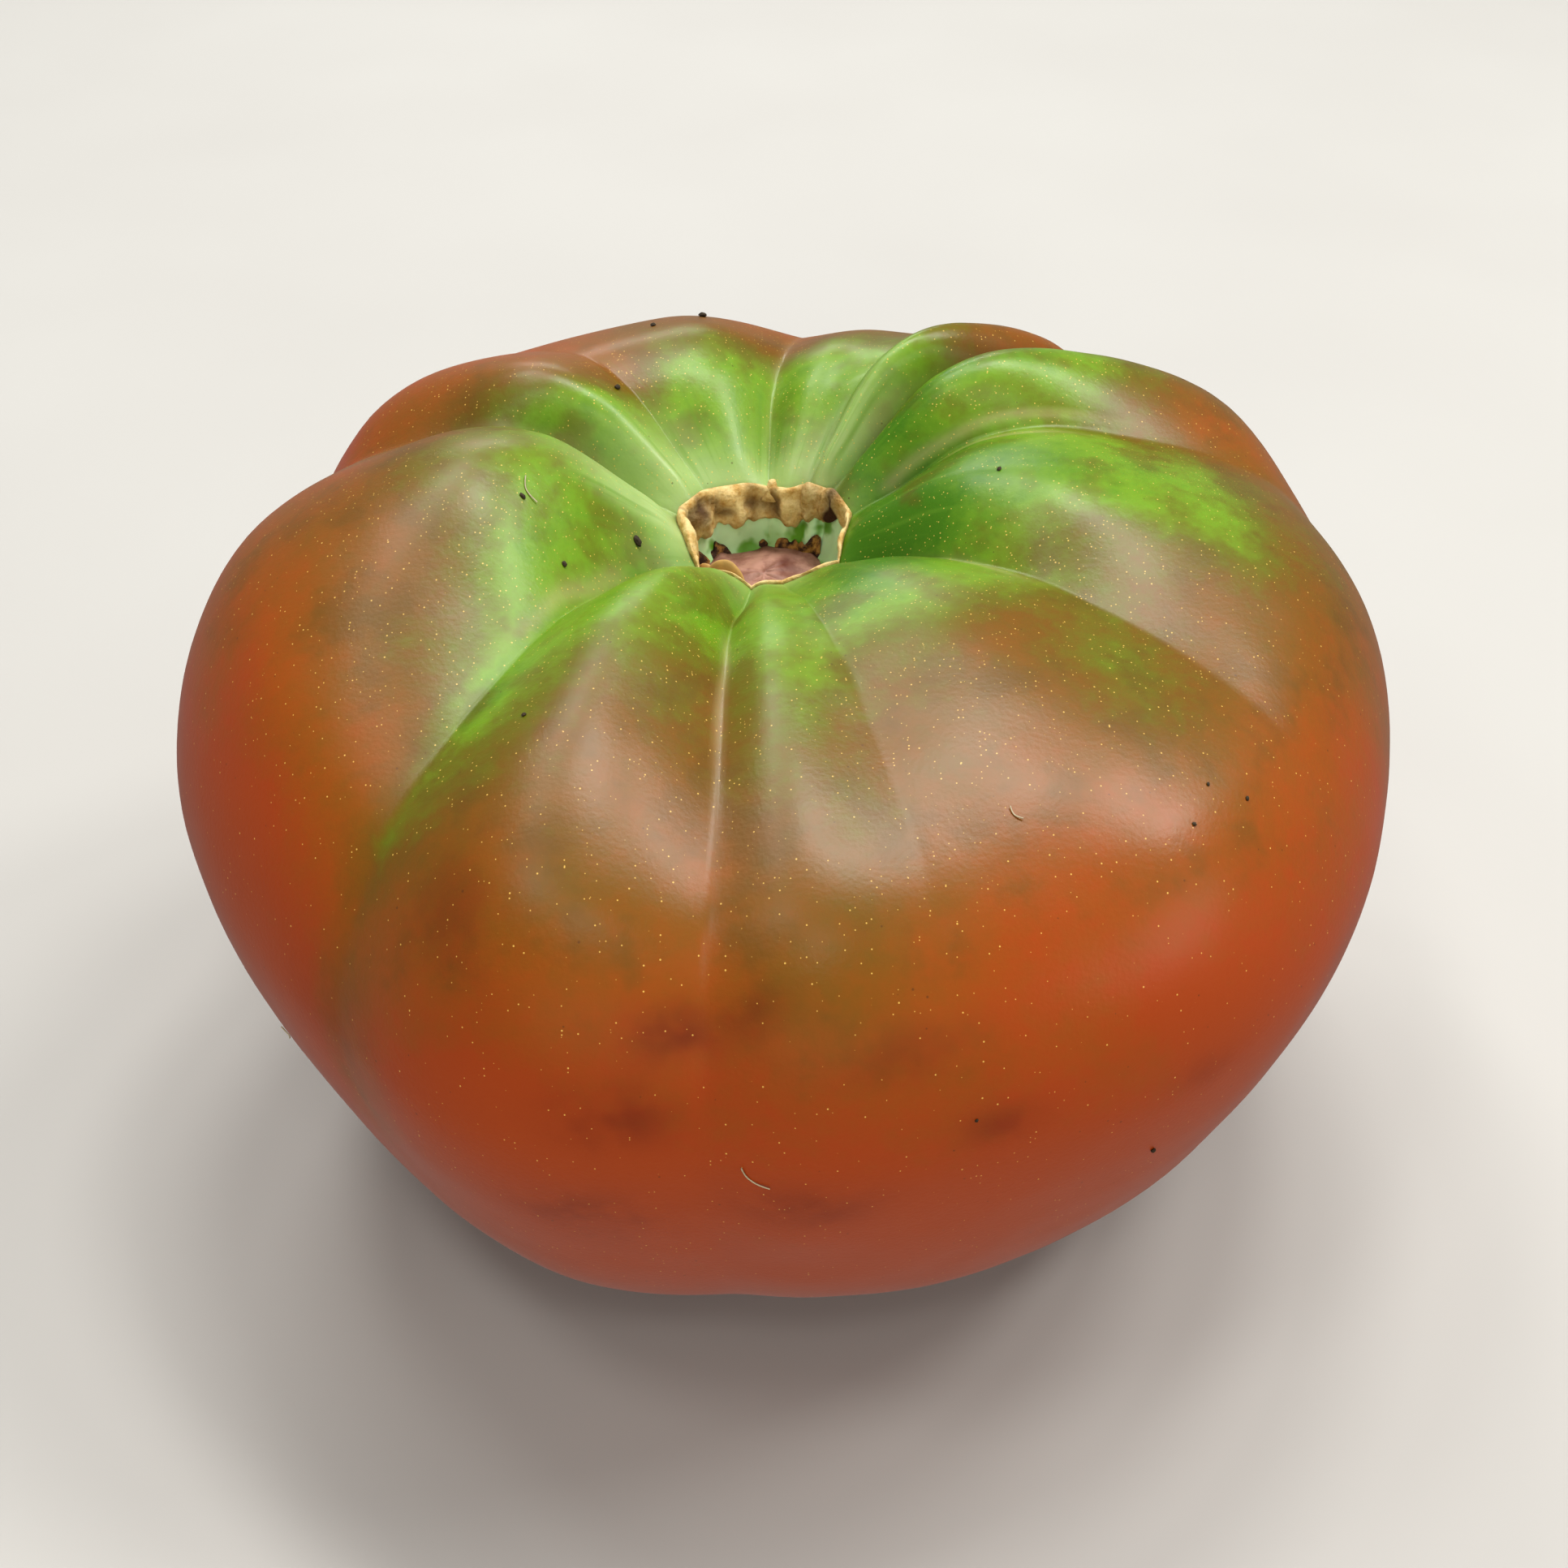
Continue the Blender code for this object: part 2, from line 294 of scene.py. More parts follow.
def skin_rule(azimuth, station, across, height):
    """What the shape needs at each azimuth and station, in metres and shares, as a dictionary."""
    azimuth, station = np.broadcast_arrays(np.asarray(azimuth, float), np.asarray(station, float))

    def meridian(at):
        out, up, _, rise_share = np.moveaxis(station_shares(at), -1, 0)
        reach, _ = eased_round(azimuth, CRESTS, RIBS[:, 3])
        rise, _ = eased_round(azimuth, CRESTS, RIBS[:, 4])
        return out * reach, up, rise * rise_share * MM

    out, up, crease_share, _ = np.moveaxis(station_shares(station), -1, 0)
    reached, _, rise = meridian(station)
    depth, share = eased_round(azimuth, CREASES, RIBS[:, 1])
    fades_at, _ = eased_round(azimuth, CREASES, RIBS[:, 2])
    bulge = np.clip(np.sin(np.pi * share), 0, 1) ** (SHARP_AT_TOP + SHARPNESS_PER_STATION * station)
    sink = depth * MM * crease_share * (1 - bulge) * smooth_step((fades_at - station) / FADE_SPAN)

    # the crease sinks square to the meridian
    nudge = 0.01
    above = meridian(np.maximum(station - nudge, 0))
    below = meridian(np.minimum(station + nudge, LAST_STATION))
    run = (below[0] - above[0]) * across / 2
    fall = (below[1] - above[1]) * height + below[2] - above[2]
    length = np.hypot(run, fall) + 1e-12
    shift = np.maximum(1 - out, 0) * np.clip(2 * up - 1, 0, 1)
    return {
        "azimuth": np.radians(azimuth), "out": reached, "up": up, "rise": rise,
        "sink_out": sink * fall / length, "sink_up": -sink * run / length,
        "place": np.stack([LEAN[0] * MM * shift, LEAN[1] * MM * shift, shift * 0], -1),
    }


def placed(rule, across, height):
    """The points that a rule gives, before they are centred on the packed solid."""
    radius = rule["out"] * across / 2 + rule["sink_out"]
    level = np.maximum(rule["up"] * height + rule["rise"] + rule["sink_up"], 0)
    return round_axis(rule["azimuth"], radius, level) + rule["place"]


@lru_cache
def centring(across, height):
    """The shift that puts the middle of the rule's box on the middle of the packed solid's."""
    azimuths = np.arange(0.0, 360.0, 1.0)
    stations = np.linspace(0, LAST_STATION, 150)
    points = placed(skin_rule(azimuths[:, None], stations[None], across, height), across, height)
    low, high = points.reshape(-1, 3).min(0), points.reshape(-1, 3).max(0)
    cad_low, cad_high = (np.array(corner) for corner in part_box(NODE))
    middle = (cad_low + cad_high - low - high) / 2
    return np.array([middle[0], middle[1], cad_low[2] - low[2]])


def skin_point(azimuth, station):
    """Points of the fruit's skin, in the frame."""
    shape = bpy.context.scene.tomato_shape
    rule = skin_rule(azimuth, station, shape.across, shape.height)
    return placed(rule, shape.across, shape.height) + centring(shape.across, shape.height)


def scar_rim(azimuths):
    """The rim of the stem scar at these azimuths, its centre and the height of its floor."""
    round_rim = skin_point(np.arange(0.0, 360.0, 5.0), 0.0)
    return skin_point(azimuths, 0.0), round_rim.mean(0), round_rim[:, 2].min() - PIT_DEPTH * MM


def pit_point(azimuths, share, drop):
    """Points inside the scar. Share is 1 at the rim and 0 in the middle, and drop is 0 at the rim's
    height and 1 on the floor."""
    rim, centre, bottom = scar_rim(azimuths)
    points = centre + (rim - centre) * np.asarray(share)[..., None]
    points[..., 2] = rim[..., 2] + (bottom - rim[..., 2]) * drop
    return points


def blotches(azimuth, station, table):
    """The sum of a table of soft blotches at each point."""
    total = np.zeros(np.broadcast(azimuth, station).shape)
    for middle, level, spread, span, amount in table:
        off = (degrees_from(azimuth, middle) / spread) ** 2 + ((station - level) / span) ** 2
        total += amount * np.exp(-off)
    return total


# ---- Meshes ----

def fine_noise(points, size, seed, octaves=3):
    """Smooth noise from -1 to 1 at points in metres, with lumps of about a size in metres."""
    rng = np.random.default_rng(seed)
    total = np.zeros(points.shape[:-1])
    for octave in range(octaves):
        wave = 2 ** octave / size
        for _ in range(6):
            direction = rng.normal(size=3)
            direction /= np.linalg.norm(direction)
            phase = rng.uniform(0, 2 * np.pi)
            total += np.sin(points @ direction * wave * 2.2 + phase) / (6 ** 0.5 * 2 ** octave)
    return np.tanh(total)


def closed_grid(rings, closed_section=False):
    """Vertices and faces of rings of points. A ring of one point closes a pole. With closed_section
    the last ring joins the first."""
    points = np.concatenate(rings)
    starts = np.cumsum([0] + [len(ring) for ring in rings])
    faces = []
    for number in range(1, len(rings) + closed_section):
        upper, lower = number - 1, number % len(rings)
        count = max(len(rings[upper]), len(rings[lower]))
        for here in range(count):
            corners = ((upper, here), (lower, here), (lower, here + 1), (upper, here + 1))
            face = (int(starts[ring]) + step % len(rings[ring]) for ring, step in corners)
            faces.append(tuple(dict.fromkeys(face)))
    return points, faces


def capped(rings):
    """The rings with the middle of the first and of the last one added, to close both ends."""
    return [rings[0].mean(0)[None]] + rings + [rings[-1].mean(0)[None]]


def mesh_object(name, points, faces, attributes=None, edges=()):
    """A smooth object at the origin, with its values at each point stored as attributes."""
    mesh = bpy.data.meshes.new(name)
    mesh.from_pydata([tuple(point) for point in points], edges, faces)
    for key, values in (attributes or {}).items():
        values = np.asarray(values, np.float32)
        kind, field = ("FLOAT_VECTOR", "vector") if values.ndim == 2 else ("FLOAT", "value")
        if values.ndim == 0:
            values = np.full(len(points), values)
        mesh.attributes.new(key, kind, "POINT").data.foreach_set(field, values.ravel())
    mesh.shade_smooth()
    mesh.update()
    thing = bpy.data.objects.new(name, mesh)
    bpy.context.scene.collection.objects.link(thing)
    return thing


def faced_outwards(thing):
    """Turns every face of a closed mesh to point out."""
    mesh = bmesh.new()
    mesh.from_mesh(thing.data)
    bmesh.ops.recalc_face_normals(mesh, faces=mesh.faces)
    mesh.to_mesh(thing.data)
    mesh.free()


def finish_piece(thing, material=None, replaces=None):
    """Gives a piece its material, and says how it goes with the packed solid."""
    if material is not None:
        thing.data.materials.clear()
        thing.data.materials.append(material)
    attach(thing, BODY)
    if replaces:
        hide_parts(replaces)


def add_shell(name, points, faces, material, **attributes):
    """Adds a closed piece of the scars, with its attributes, facing outwards."""
    shell = mesh_object(name, points, faces, attributes)
    faced_outwards(shell)
    finish_piece(shell, material)


# ---- Nodes ----

# The kinds of node used most, some with their settings. Inputs in use, in order: a noise's are
# its place, scale, detail and roughness, a range's are its value, from, to, least and most
MATH = "ShaderNodeMath"
VECTOR_MATH = "ShaderNodeVectorMath"
NOISE = "ShaderNodeTexNoise"
SEEDED_NOISE = NOISE, {"noise_dimensions": "4D"}
MIX = "ShaderNodeMix", {"data_type": "RGBA"}
RANGE = "ShaderNodeMapRange"
SOFT_RANGE = RANGE, {"interpolation_type": "SMOOTHSTEP"}
RAMP = "ShaderNodeValToRGB"
BUMP = "ShaderNodeBump"
PAINTED = "ShaderNodeAttribute"
STORED = "GeometryNodeInputNamedAttribute"
MOVE = "GeometryNodeSetPosition"


def connect(tree, node, inputs):
    """Sets a node's inputs in use, given in order or by name, to values or links them."""
    sockets = [socket for socket in node.inputs if socket.enabled]
    names = [socket.name for socket in sockets]
    pairs = inputs.items() if isinstance(inputs, dict) else enumerate(inputs)
    for key, value in pairs:
        socket = sockets[key if isinstance(key, int) else names.index(key)]
        if isinstance(value, bpy.types.NodeSocket):
            tree.links.new(value, socket)
        else:
            socket.default_value = value


def add_node(tree, kind, inputs=(), operation=None, output=None, stops=(), **settings):
    """Adds a node with its settings, a ramp's stops and its inputs. Gives back the output of that
    name, or the first one in use."""
    kind, own = kind if isinstance(kind, tuple) else (kind, {})
    node = tree.nodes.new(kind)
    if operation:
        node.operation = operation
    for name, value in {**own, **settings}.items():
        setattr(node, name, value)
    for number, (at, colour) in enumerate(stops):
        elements = node.color_ramp.elements
        element = elements[number] if number < len(elements) else elements.new(at)
        element.position, element.color = at, colour
    connect(tree, node, inputs)
    return next((one for one in node.outputs if one.enabled and output in (None, one.name)), None)


def shaped_by(thing, tree, values):
    """Runs a Geometry Nodes tree on an object, with named inputs, and keeps what it makes."""
    modifier = thing.modifiers.new(tree.name, "NODES")
    modifier.node_group = tree
    for item in tree.interface.items_tree:
        if item.in_out == "INPUT" and item.name in values:
            modifier[item.identifier] = values[item.name]
    bpy.context.view_layer.update()
    graph = bpy.context.evaluated_depsgraph_get()
    mesh = bpy.data.meshes.new_from_object(thing.evaluated_get(graph))
    thing.modifiers.remove(modifier)
    old = thing.data
    thing.data = mesh
    bpy.data.meshes.remove(old)
    mesh.name = thing.name


def new_tree(name, inputs):
    """An empty Geometry Nodes tree with a Geometry input and output and named inputs with their
    defaults, None for a material. Gives the tree, what adds a node to it, and what it is given."""
    tree = bpy.data.node_groups.new(name, "GeometryNodeTree")
    tree.interface.new_socket("Geometry", in_out="INPUT", socket_type="NodeSocketGeometry")
    for label, default in inputs.items():
        kind = {float: "Float", int: "Int"}.get(type(default), "Material")
        socket = tree.interface.new_socket(label, in_out="INPUT", socket_type="NodeSocket" + kind)
        if default is not None:
            socket.default_value = default
    tree.interface.new_socket("Geometry", in_out="OUTPUT", socket_type="NodeSocketGeometry")
    return tree, partial(add_node, tree), tree.nodes.new("NodeGroupInput").outputs


def end_tree(add, geometry, material):
    """Ends a tree in Realize Instances and Set Material."""
    real = add("GeometryNodeRealizeInstances", {"Geometry": geometry})
    painted = add("GeometryNodeSetMaterial", {"Geometry": real, "Material": material})
    add("NodeGroupOutput", (painted,))


def ribbed_skin_tree():
    """Puts each point of the skin where its rib, crease and meridian say, then waves it gently."""
    tree, add, given = new_tree("Ribbed skin", {
        "Across": 0.091, "Height": 0.0575, "Crease Depth": 1.0, "Waviness": 0.0002,
        "Wave Size": 0.015, "Score Depth": 1.0, "Seed": 1, "Skin": None})
    azimuth, out, up, rise, sink_out, sink_up, soft, groove = (
        add(STORED, {"Name": name}, data_type="FLOAT")
        for name in ("azimuth", "out", "up", "rise", "sink_out", "sink_up", "soft", "groove"))
    centre = add(STORED, {"Name": "place"}, data_type="FLOAT_VECTOR")

    # half the width times the reach, less what the crease takes
    half = add(MATH, (given["Across"], 0.5), "MULTIPLY")
    sink_out = add(MATH, (sink_out, given["Crease Depth"]), "MULTIPLY")
    radius = add(MATH, (out, half, sink_out), "MULTIPLY_ADD")
    level = add(MATH, (up, given["Height"], rise), "MULTIPLY_ADD")
    level = add(MATH, (sink_up, given["Crease Depth"], level), "MULTIPLY_ADD")
    level = add(MATH, (level, 0.0), "MAXIMUM")
    right = add(MATH, (radius, add(MATH, (azimuth,), "SINE")), "MULTIPLY")
    ahead = add(MATH, (radius, add(MATH, (azimuth,), "COSINE")), "MULTIPLY")
    back = add(MATH, (ahead, -1.0), "MULTIPLY")
    point = add("ShaderNodeCombineXYZ", (right, back, level))
    place = add(VECTOR_MATH, (point, centre), "ADD")
    shaped = add(MOVE, {"Geometry": given["Geometry"], "Position": place})

    # waves along the normal, and the fine grooves down the creases
    per_metre = add(MATH, (1.0, given["Wave Size"]), "DIVIDE")
    noise = add(SEEDED_NOISE, {
        "W": given["Seed"], "Scale": per_metre, "Detail": 2.0, "Roughness": 0.35})
    wave = add(MATH, (noise, 0.5), "SUBTRACT")
    reach = add(MATH, (given["Waviness"], 4.0), "MULTIPLY")
    wave = add(MATH, (add(MATH, (wave, reach), "MULTIPLY"), soft), "MULTIPLY")
    score = add(MATH, (groove, given["Score Depth"]), "MULTIPLY")
    height = add(MATH, (wave, score), "SUBTRACT")
    offset = add(VECTOR_MATH, {"Vector": add("GeometryNodeInputNormal"), "Scale": height}, "SCALE")
    waved = add(MOVE, {"Geometry": shaped, "Offset": offset})
    end_tree(add, waved, given["Skin"])
    return tree


def crumb_tree():
    """Sets a rough crumb on each point, turned to the skin and as big as the point says."""
    tree, add, given = new_tree("Crumbs on skin", {"Roughness": 0.35, "Seed": 1, "Soil": None})
    facing, size = (
        add(STORED, {"Name": name}, data_type="FLOAT_VECTOR") for name in ("facing", "size"))
    crumb = add("GeometryNodeMeshIcoSphere", {"Radius": 0.5, "Subdivisions": 3})
    noise = add(SEEDED_NOISE, {"W": given["Seed"], "Scale": 2.6, "Detail": 3.0})
    lump = add(MATH, (noise, 0.5), "SUBTRACT")
    reach = add(MATH, (given["Roughness"], 2.0), "MULTIPLY")
    lump = add(MATH, (lump, reach), "MULTIPLY")
    offset = add(VECTOR_MATH, {"Vector": add("GeometryNodeInputNormal"), "Scale": lump}, "SCALE")
    rough = add(MOVE, {"Geometry": crumb, "Offset": offset})
    upright = add("FunctionNodeAlignEulerToVector", {"Vector": facing}, axis="Z")
    turn = add("FunctionNodeRandomValue", {"Min": 0.0, "Max": 2 * math.pi, "Seed": given["Seed"]})
    spin = add("ShaderNodeCombineXYZ", {"Z": turn})
    turned = add("FunctionNodeRotateEuler", {"Rotation": upright, "Rotate By": spin}, space="LOCAL")
    crumbs = add("GeometryNodeInstanceOnPoints", {
        "Points": given["Geometry"], "Instance": rough, "Rotation": turned, "Scale": size})
    end_tree(add, add("GeometryNodeSetShadeSmooth", (crumbs,)), given["Soil"])
    return tree


def fibre_tree():
    """Turns each line of points into a thin tapering fibre."""
    tree, add, given = new_tree("Dry fibres", {"Thickness": 0.0001, "Fibre": None})
    lines = add("GeometryNodeMeshToCurve", {"Mesh": given["Geometry"]})
    along = add("GeometryNodeSplineParameter", output="Factor")
    half_turn = add(MATH, (along, math.pi), "MULTIPLY")
    taper = add(MATH, (half_turn,), "SINE")
    thick = add(MATH, (taper, 0.7, 0.3), "MULTIPLY_ADD")
    sized = add("GeometryNodeSetCurveRadius", {"Curve": lines, "Radius": thick})
    radius = add(MATH, (given["Thickness"], 0.5), "MULTIPLY")
    section = add("GeometryNodeCurvePrimitiveCircle", {"Resolution": 6, "Radius": radius})
    fibres = add("GeometryNodeCurveToMesh", {
        "Curve": sized, "Profile Curve": section, "Fill Caps": True})
    end_tree(add, fibres, given["Fibre"])
    return tree


# ---- Materials ----

def new_material(name):
    """A material, what gives its shader inputs, the function that adds a node to it, and its
    object coordinates."""
    material = bpy.data.materials.new(name)
    material.use_nodes = True
    tree = material.node_tree
    add = partial(add_node, tree)
    place = add("ShaderNodeTexCoord", output="Object")
    return material, partial(connect, tree, tree.nodes["Principled BSDF"]), add, place


def per_size(millimetres):
    """The scale that gives a pattern lumps of this size."""
    return 1 / (millimetres * MM)


def dots(add, place, spacing, radius, density):
    """Round dots where the skin passes near scattered points, with spacing and radius in mm."""
    cells = {"Vector": place, "Scale": per_size(spacing)}
    distance = add("ShaderNodeTexVoronoi", cells, output="Distance")
    chance = add("ShaderNodeTexVoronoi", cells, output="Color")
    chance = add("ShaderNodeSeparateColor", (chance,), output="Red")
    share = radius / spacing
    size = add(RANGE, (chance, 0.0, density, 0.6 * share, 1.25 * share))
    inside = add(MATH, (size, distance), "SUBTRACT")
    dot = add(RANGE, (inside, 0.0, 0.35 * share))
    here = add(MATH, (chance, density), "LESS_THAN")
    return add(MATH, (dot, here), "MULTIPLY")


def patches(add, place, scale, start, full, least=0.0, most=1.0, detail=2.0, roughness=0.5):
    """Soft patches: the least where the noise is under start, the most where it is over full."""
    noise = add(NOISE, (place, scale, detail, roughness))
    return add(SOFT_RANGE, (noise, start, full, least, most))


def two_tone_material(name, lump_size, first, second, roughness):
    """A material that drifts between two colours in lumps of a size in millimetres."""
    material, shade, add, place = new_material(name)
    tint = add(NOISE, (place, per_size(lump_size), 2.0))
    shade({"Base Color": add(MIX, (tint, first, second)), "Roughness": roughness})
    return material


def tomato_skin_material():
    """Tomato skin, a waxy cuticle over flesh that ripens from green to red.

    The thin wax gives broad, milky highlights. The flesh under it gives the colour, which follows
    the ripeness stored on the mesh, with fine golden glands near the surface."""
    skin = bpy.context.scene.tomato_skin_finish
    material, shade, add, place = new_material("waxy_tomato_skin_half_ripe")
    ripeness, pale, streaks, dark, score, glands = (
        add(PAINTED, attribute_name=name, output="Fac")
        for name in ("ripeness", "pale", "streaks", "dark", "score", "glands"))

    # ripeness drifts over broad patches and mottles finely, so that greens and reds show through
    # each other
    drift = add(NOISE, (place, per_size(9), 4.0, 0.55))
    drift = add(MATH, (drift, skin.drift * 2, -skin.drift), "MULTIPLY_ADD")
    mottle = add(NOISE, (place, per_size(1.2), 3.0, 0.6))
    mottle = add(MATH, (mottle, skin.mottle * 2, -skin.mottle), "MULTIPLY_ADD")
    ripe = add(MATH, (ripeness, add(MATH, (drift, mottle), "ADD")), "ADD")
    colour = add(RAMP, (ripe,), stops=(
        (0.02, skin.deep_green), (0.20, skin.green), (0.36, skin.olive), (0.50, skin.brown),
        (0.64, skin.orange_brown), (0.82, skin.orange_red), (0.98, skin.red)))

    # a veil of brown lies over both sides of the turn
    veil = patches(add, place, per_size(5.5), 0.48, 0.68, most=skin.veil, detail=3.0, roughness=0.6)
    turning = add(SOFT_RANGE, (ripe, 0.95, 0.60))
    clouds = add(RANGE, (add(NOISE, (place, per_size(5), 2.0)), 0.25, 0.6, 0.7))
    # streaks of vessels run down each rib from the stem
    rib_place = add("ShaderNodeUVMap", uv_map="RibUV")
    stretched = add("ShaderNodeMapping", {"Vector": rib_place, "Scale": (150.0, 5.0, 1.0)})
    streak = patches(add, stretched, 1.0, 0.5, 0.75)
    edge = patches(add, place, per_size(3.5), 0.3, 0.62, 0.35)
    # golden glands under 0.2 mm across, crowded near the stem, and far fewer dark ones
    gold = dots(add, place, 0.34, 0.060, glands)
    speck = dots(add, place, 0.95, 0.09, 0.16)
    # the score mask lays a painted highlight along each crease groove
    for pattern, amount, over in (
            (veil, turning, skin.veil_colour), (clouds, pale, skin.pale_green),
            (streak, streaks, skin.streak_green), (edge, dark, skin.maroon),
            (score, 1.0, skin.painted_crease_highlight), (gold, 0.70, skin.gland),
            (speck, 0.55, skin.dark_gland)):
        colour = add(MIX, (add(MATH, (pattern, amount), "MULTIPLY"), colour, over))

    wax = add(NOISE, (place, per_size(7), 3.0))
    wax = add(MATH, (wax, 0.10, skin.roughness - 0.05), "MULTIPLY_ADD")
    grain = add(NOISE, (place, per_size(0.35), 2.0))
    shade({
        "Base Color": colour, "Roughness": wax,
        "Normal": add(BUMP, {"Strength": 0.14, "Distance": 0.10 * MM, "Height": grain}),
        "IOR": 1.45, "Specular IOR Level": skin.shine,
        "Subsurface Weight": 0.12, "Subsurface Radius": (1.0, 0.45, 0.15),
        "Subsurface Scale": 2.5 * MM,
    })
    return material


def cork_material():
    """Cork that the plant grew round the stem joint: dry, matt and crumbly, with brown hollows."""
    scar = bpy.context.scene.tomato_scar
    material, shade, add, place = new_material("dry_scar_cork")
    grain = add(NOISE, (place, per_size(1.3), 5.0, 0.65))
    # the palest stop is lighter cork with a painted highlight in it
    colour = add(RAMP, (grain,), stops=(
        (0.26, scar.cork_brown), (0.40, scar.cork_tan), (0.60, scar.pale_cork_and_highlight)))
    hollow = add(PAINTED, attribute_name="hollow", output="Fac")
    hollow = add(MATH, (hollow, 0.85), "MULTIPLY")
    lumps = add(NOISE, (place, per_size(0.5), 4.0))
    shade({"Base Color": add(MIX, (hollow, colour, scar.torn_brown)), "Roughness": 0.85,
           "Normal": add(BUMP, {"Strength": 0.8, "Distance": 0.3 * MM, "Height": lumps})})
    return material


def scar_flesh_material():
    """Wet green flesh laid bare inside the scar: pale mint with bright green cores, half glossy."""
    scar = bpy.context.scene.tomato_scar
    material, shade, add, place = new_material("bare_green_flesh")
    low, shaded = (add(PAINTED, attribute_name=name, output="Fac") for name in ("low", "shaded"))
    cores = patches(add, place, per_size(2.2), 0.50, 0.66)
    colour = add(MIX, (cores, scar.flesh_pale, scar.flesh_green))
    colour = add(MIX, (low, colour, scar.flesh_green))
    # painted shade: where shaded is set, the flesh on the scar's right wall turns grey
    shade({"Base Color": add(MIX, (shaded, colour, scar.flesh_painted_shade)), "Roughness": 0.42,
           "Subsurface Weight": 0.2, "Subsurface Scale": 1.0 * MM})
    return material


def dried_core_material():
    """The stem's dried core on the scar's floor: a thin, matt, pinkish brown skin, browner in its
    folds."""
    scar = bpy.context.scene.tomato_scar
    material, shade, add, place = new_material("dried_stem_core")
    folds = patches(add, place, per_size(1.8), 0.35, 0.65, detail=4.0, roughness=0.6)
    colour = add(MIX, (folds, scar.core_brown, scar.core_pink))
    mark = add(PAINTED, attribute_name="mark", output="Fac")
    shade({"Base Color": add(MIX, (mark, colour, scar.core_red)), "Roughness": 0.6})
    return material


def torn_material():
    """Torn fibres of the stem joint: dark brown and dull, tan where they are thin."""
    scar = bpy.context.scene.tomato_scar
    material, shade, add, place = new_material("torn_stem_fibre")
    grain = add(NOISE, (place, per_size(0.9), 4.0, 0.6))
    colour = add(RAMP, (grain,), stops=(
        (0.46, scar.torn_brown), (0.60, scar.cork_brown), (0.74, scar.cork_tan)))
    thin = add(PAINTED, attribute_name="tan", output="Fac")
    shade({"Base Color": add(MIX, (thin, colour, scar.cork_tan)), "Roughness": 0.8})
    return material


def soil_material():
    """Crumbs of dry garden soil: near black, matt."""
    litter = bpy.context.scene.tomato_litter
    return two_tone_material("dry_garden_soil", 0.3, litter.soil_dark, litter.soil_brown, 0.9)


def fibre_material():
    """Dry plant hair: a pale grey-brown thread that catches the light."""
    litter = bpy.context.scene.tomato_litter
    return two_tone_material("dry_plant_hair", 0.8, litter.fibre_pale, litter.fibre_brown, 0.55)


def floor_material():
    """A plain painted board: pale, matt."""
    stage = bpy.context.scene.tomato_stage
    return two_tone_material("pale_painted_floor", 60, stage.floor, stage.floor_shade, 0.7)


# ---- What a user may change ----

class TomatoShape(bpy.types.PropertyGroup):
    """Sizes of the fruit"""
    across: length_property("Across", "Width of the fruit at an average rib", 91.0)
    height: length_property("Height", "Height of an average rib's crest above the table", 57.5)
    crease_depth: share_property("Crease Depth", "Depth of every crease, as a factor", 1.0, 1.5)
    waviness: length_property("Waviness", "How far the skin waves in and out", 0.20)
    wave_size: length_property("Wave Size", "Distance between the skin's waves", 15.0)
    seed: seed_property("Picks another set of waves", 4)


class TomatoSkinFinish(bpy.types.PropertyGroup):
    """Colours of the skin, from unripe to ripe"""
    deep_green: colour_property("Deep Green", "Shoulder of the greenest ribs", "#44700a")
    green: colour_property("Green", "Unripe skin", "#6c8e1c")
    olive: colour_property("Olive", "Skin that starts to turn", "#64640f")
    brown: colour_property("Brown", "Green and red together", "#6e4e0c")
    orange_brown: colour_property("Orange Brown", "Skin more than half ripe", "#7e4c0a")
    orange_red: colour_property("Orange Red", "Skin nearly ripe", "#90480a")
    red: colour_property("Red", "Ripe skin", "#9a400a")
    # pale skin colour, partly painted light lifting the shade round the scar
    pale_green: colour_property("Pale Green", "Skin close to the stem", "#b2c488")
    streak_green: colour_property("Streak Green", "Vessels running down from the stem", "#5e8420")
    maroon: colour_property("Maroon", "Dark blotches on the ripe side", "#5e1e06")
    # painted highlight along the crease grooves
    painted_crease_highlight: colour_property("Score", "Fine dry scars along the creases", "#c0ac84")
    gland: colour_property("Gland", "Golden dots", "#deb860")
    dark_gland: colour_property("Dark Gland", "Dark dots", "#4a2c10")
    roughness: share_property("Roughness", "How far the wax spreads a highlight", 0.36)
    shine: share_property("Shine", "Strength of the wax's reflection", 0.45)
    drift: share_property("Drift", "How far ripeness wanders over broad patches", 0.24)
    mottle: share_property("Mottle", "How far ripeness wanders from spot to spot", 0.09)
    veil: share_property("Veil", "How much brown lies over skin that is turning", 0.50)
    veil_colour: colour_property("Veil Colour", "Brown over skin that is turning", "#5e440c")


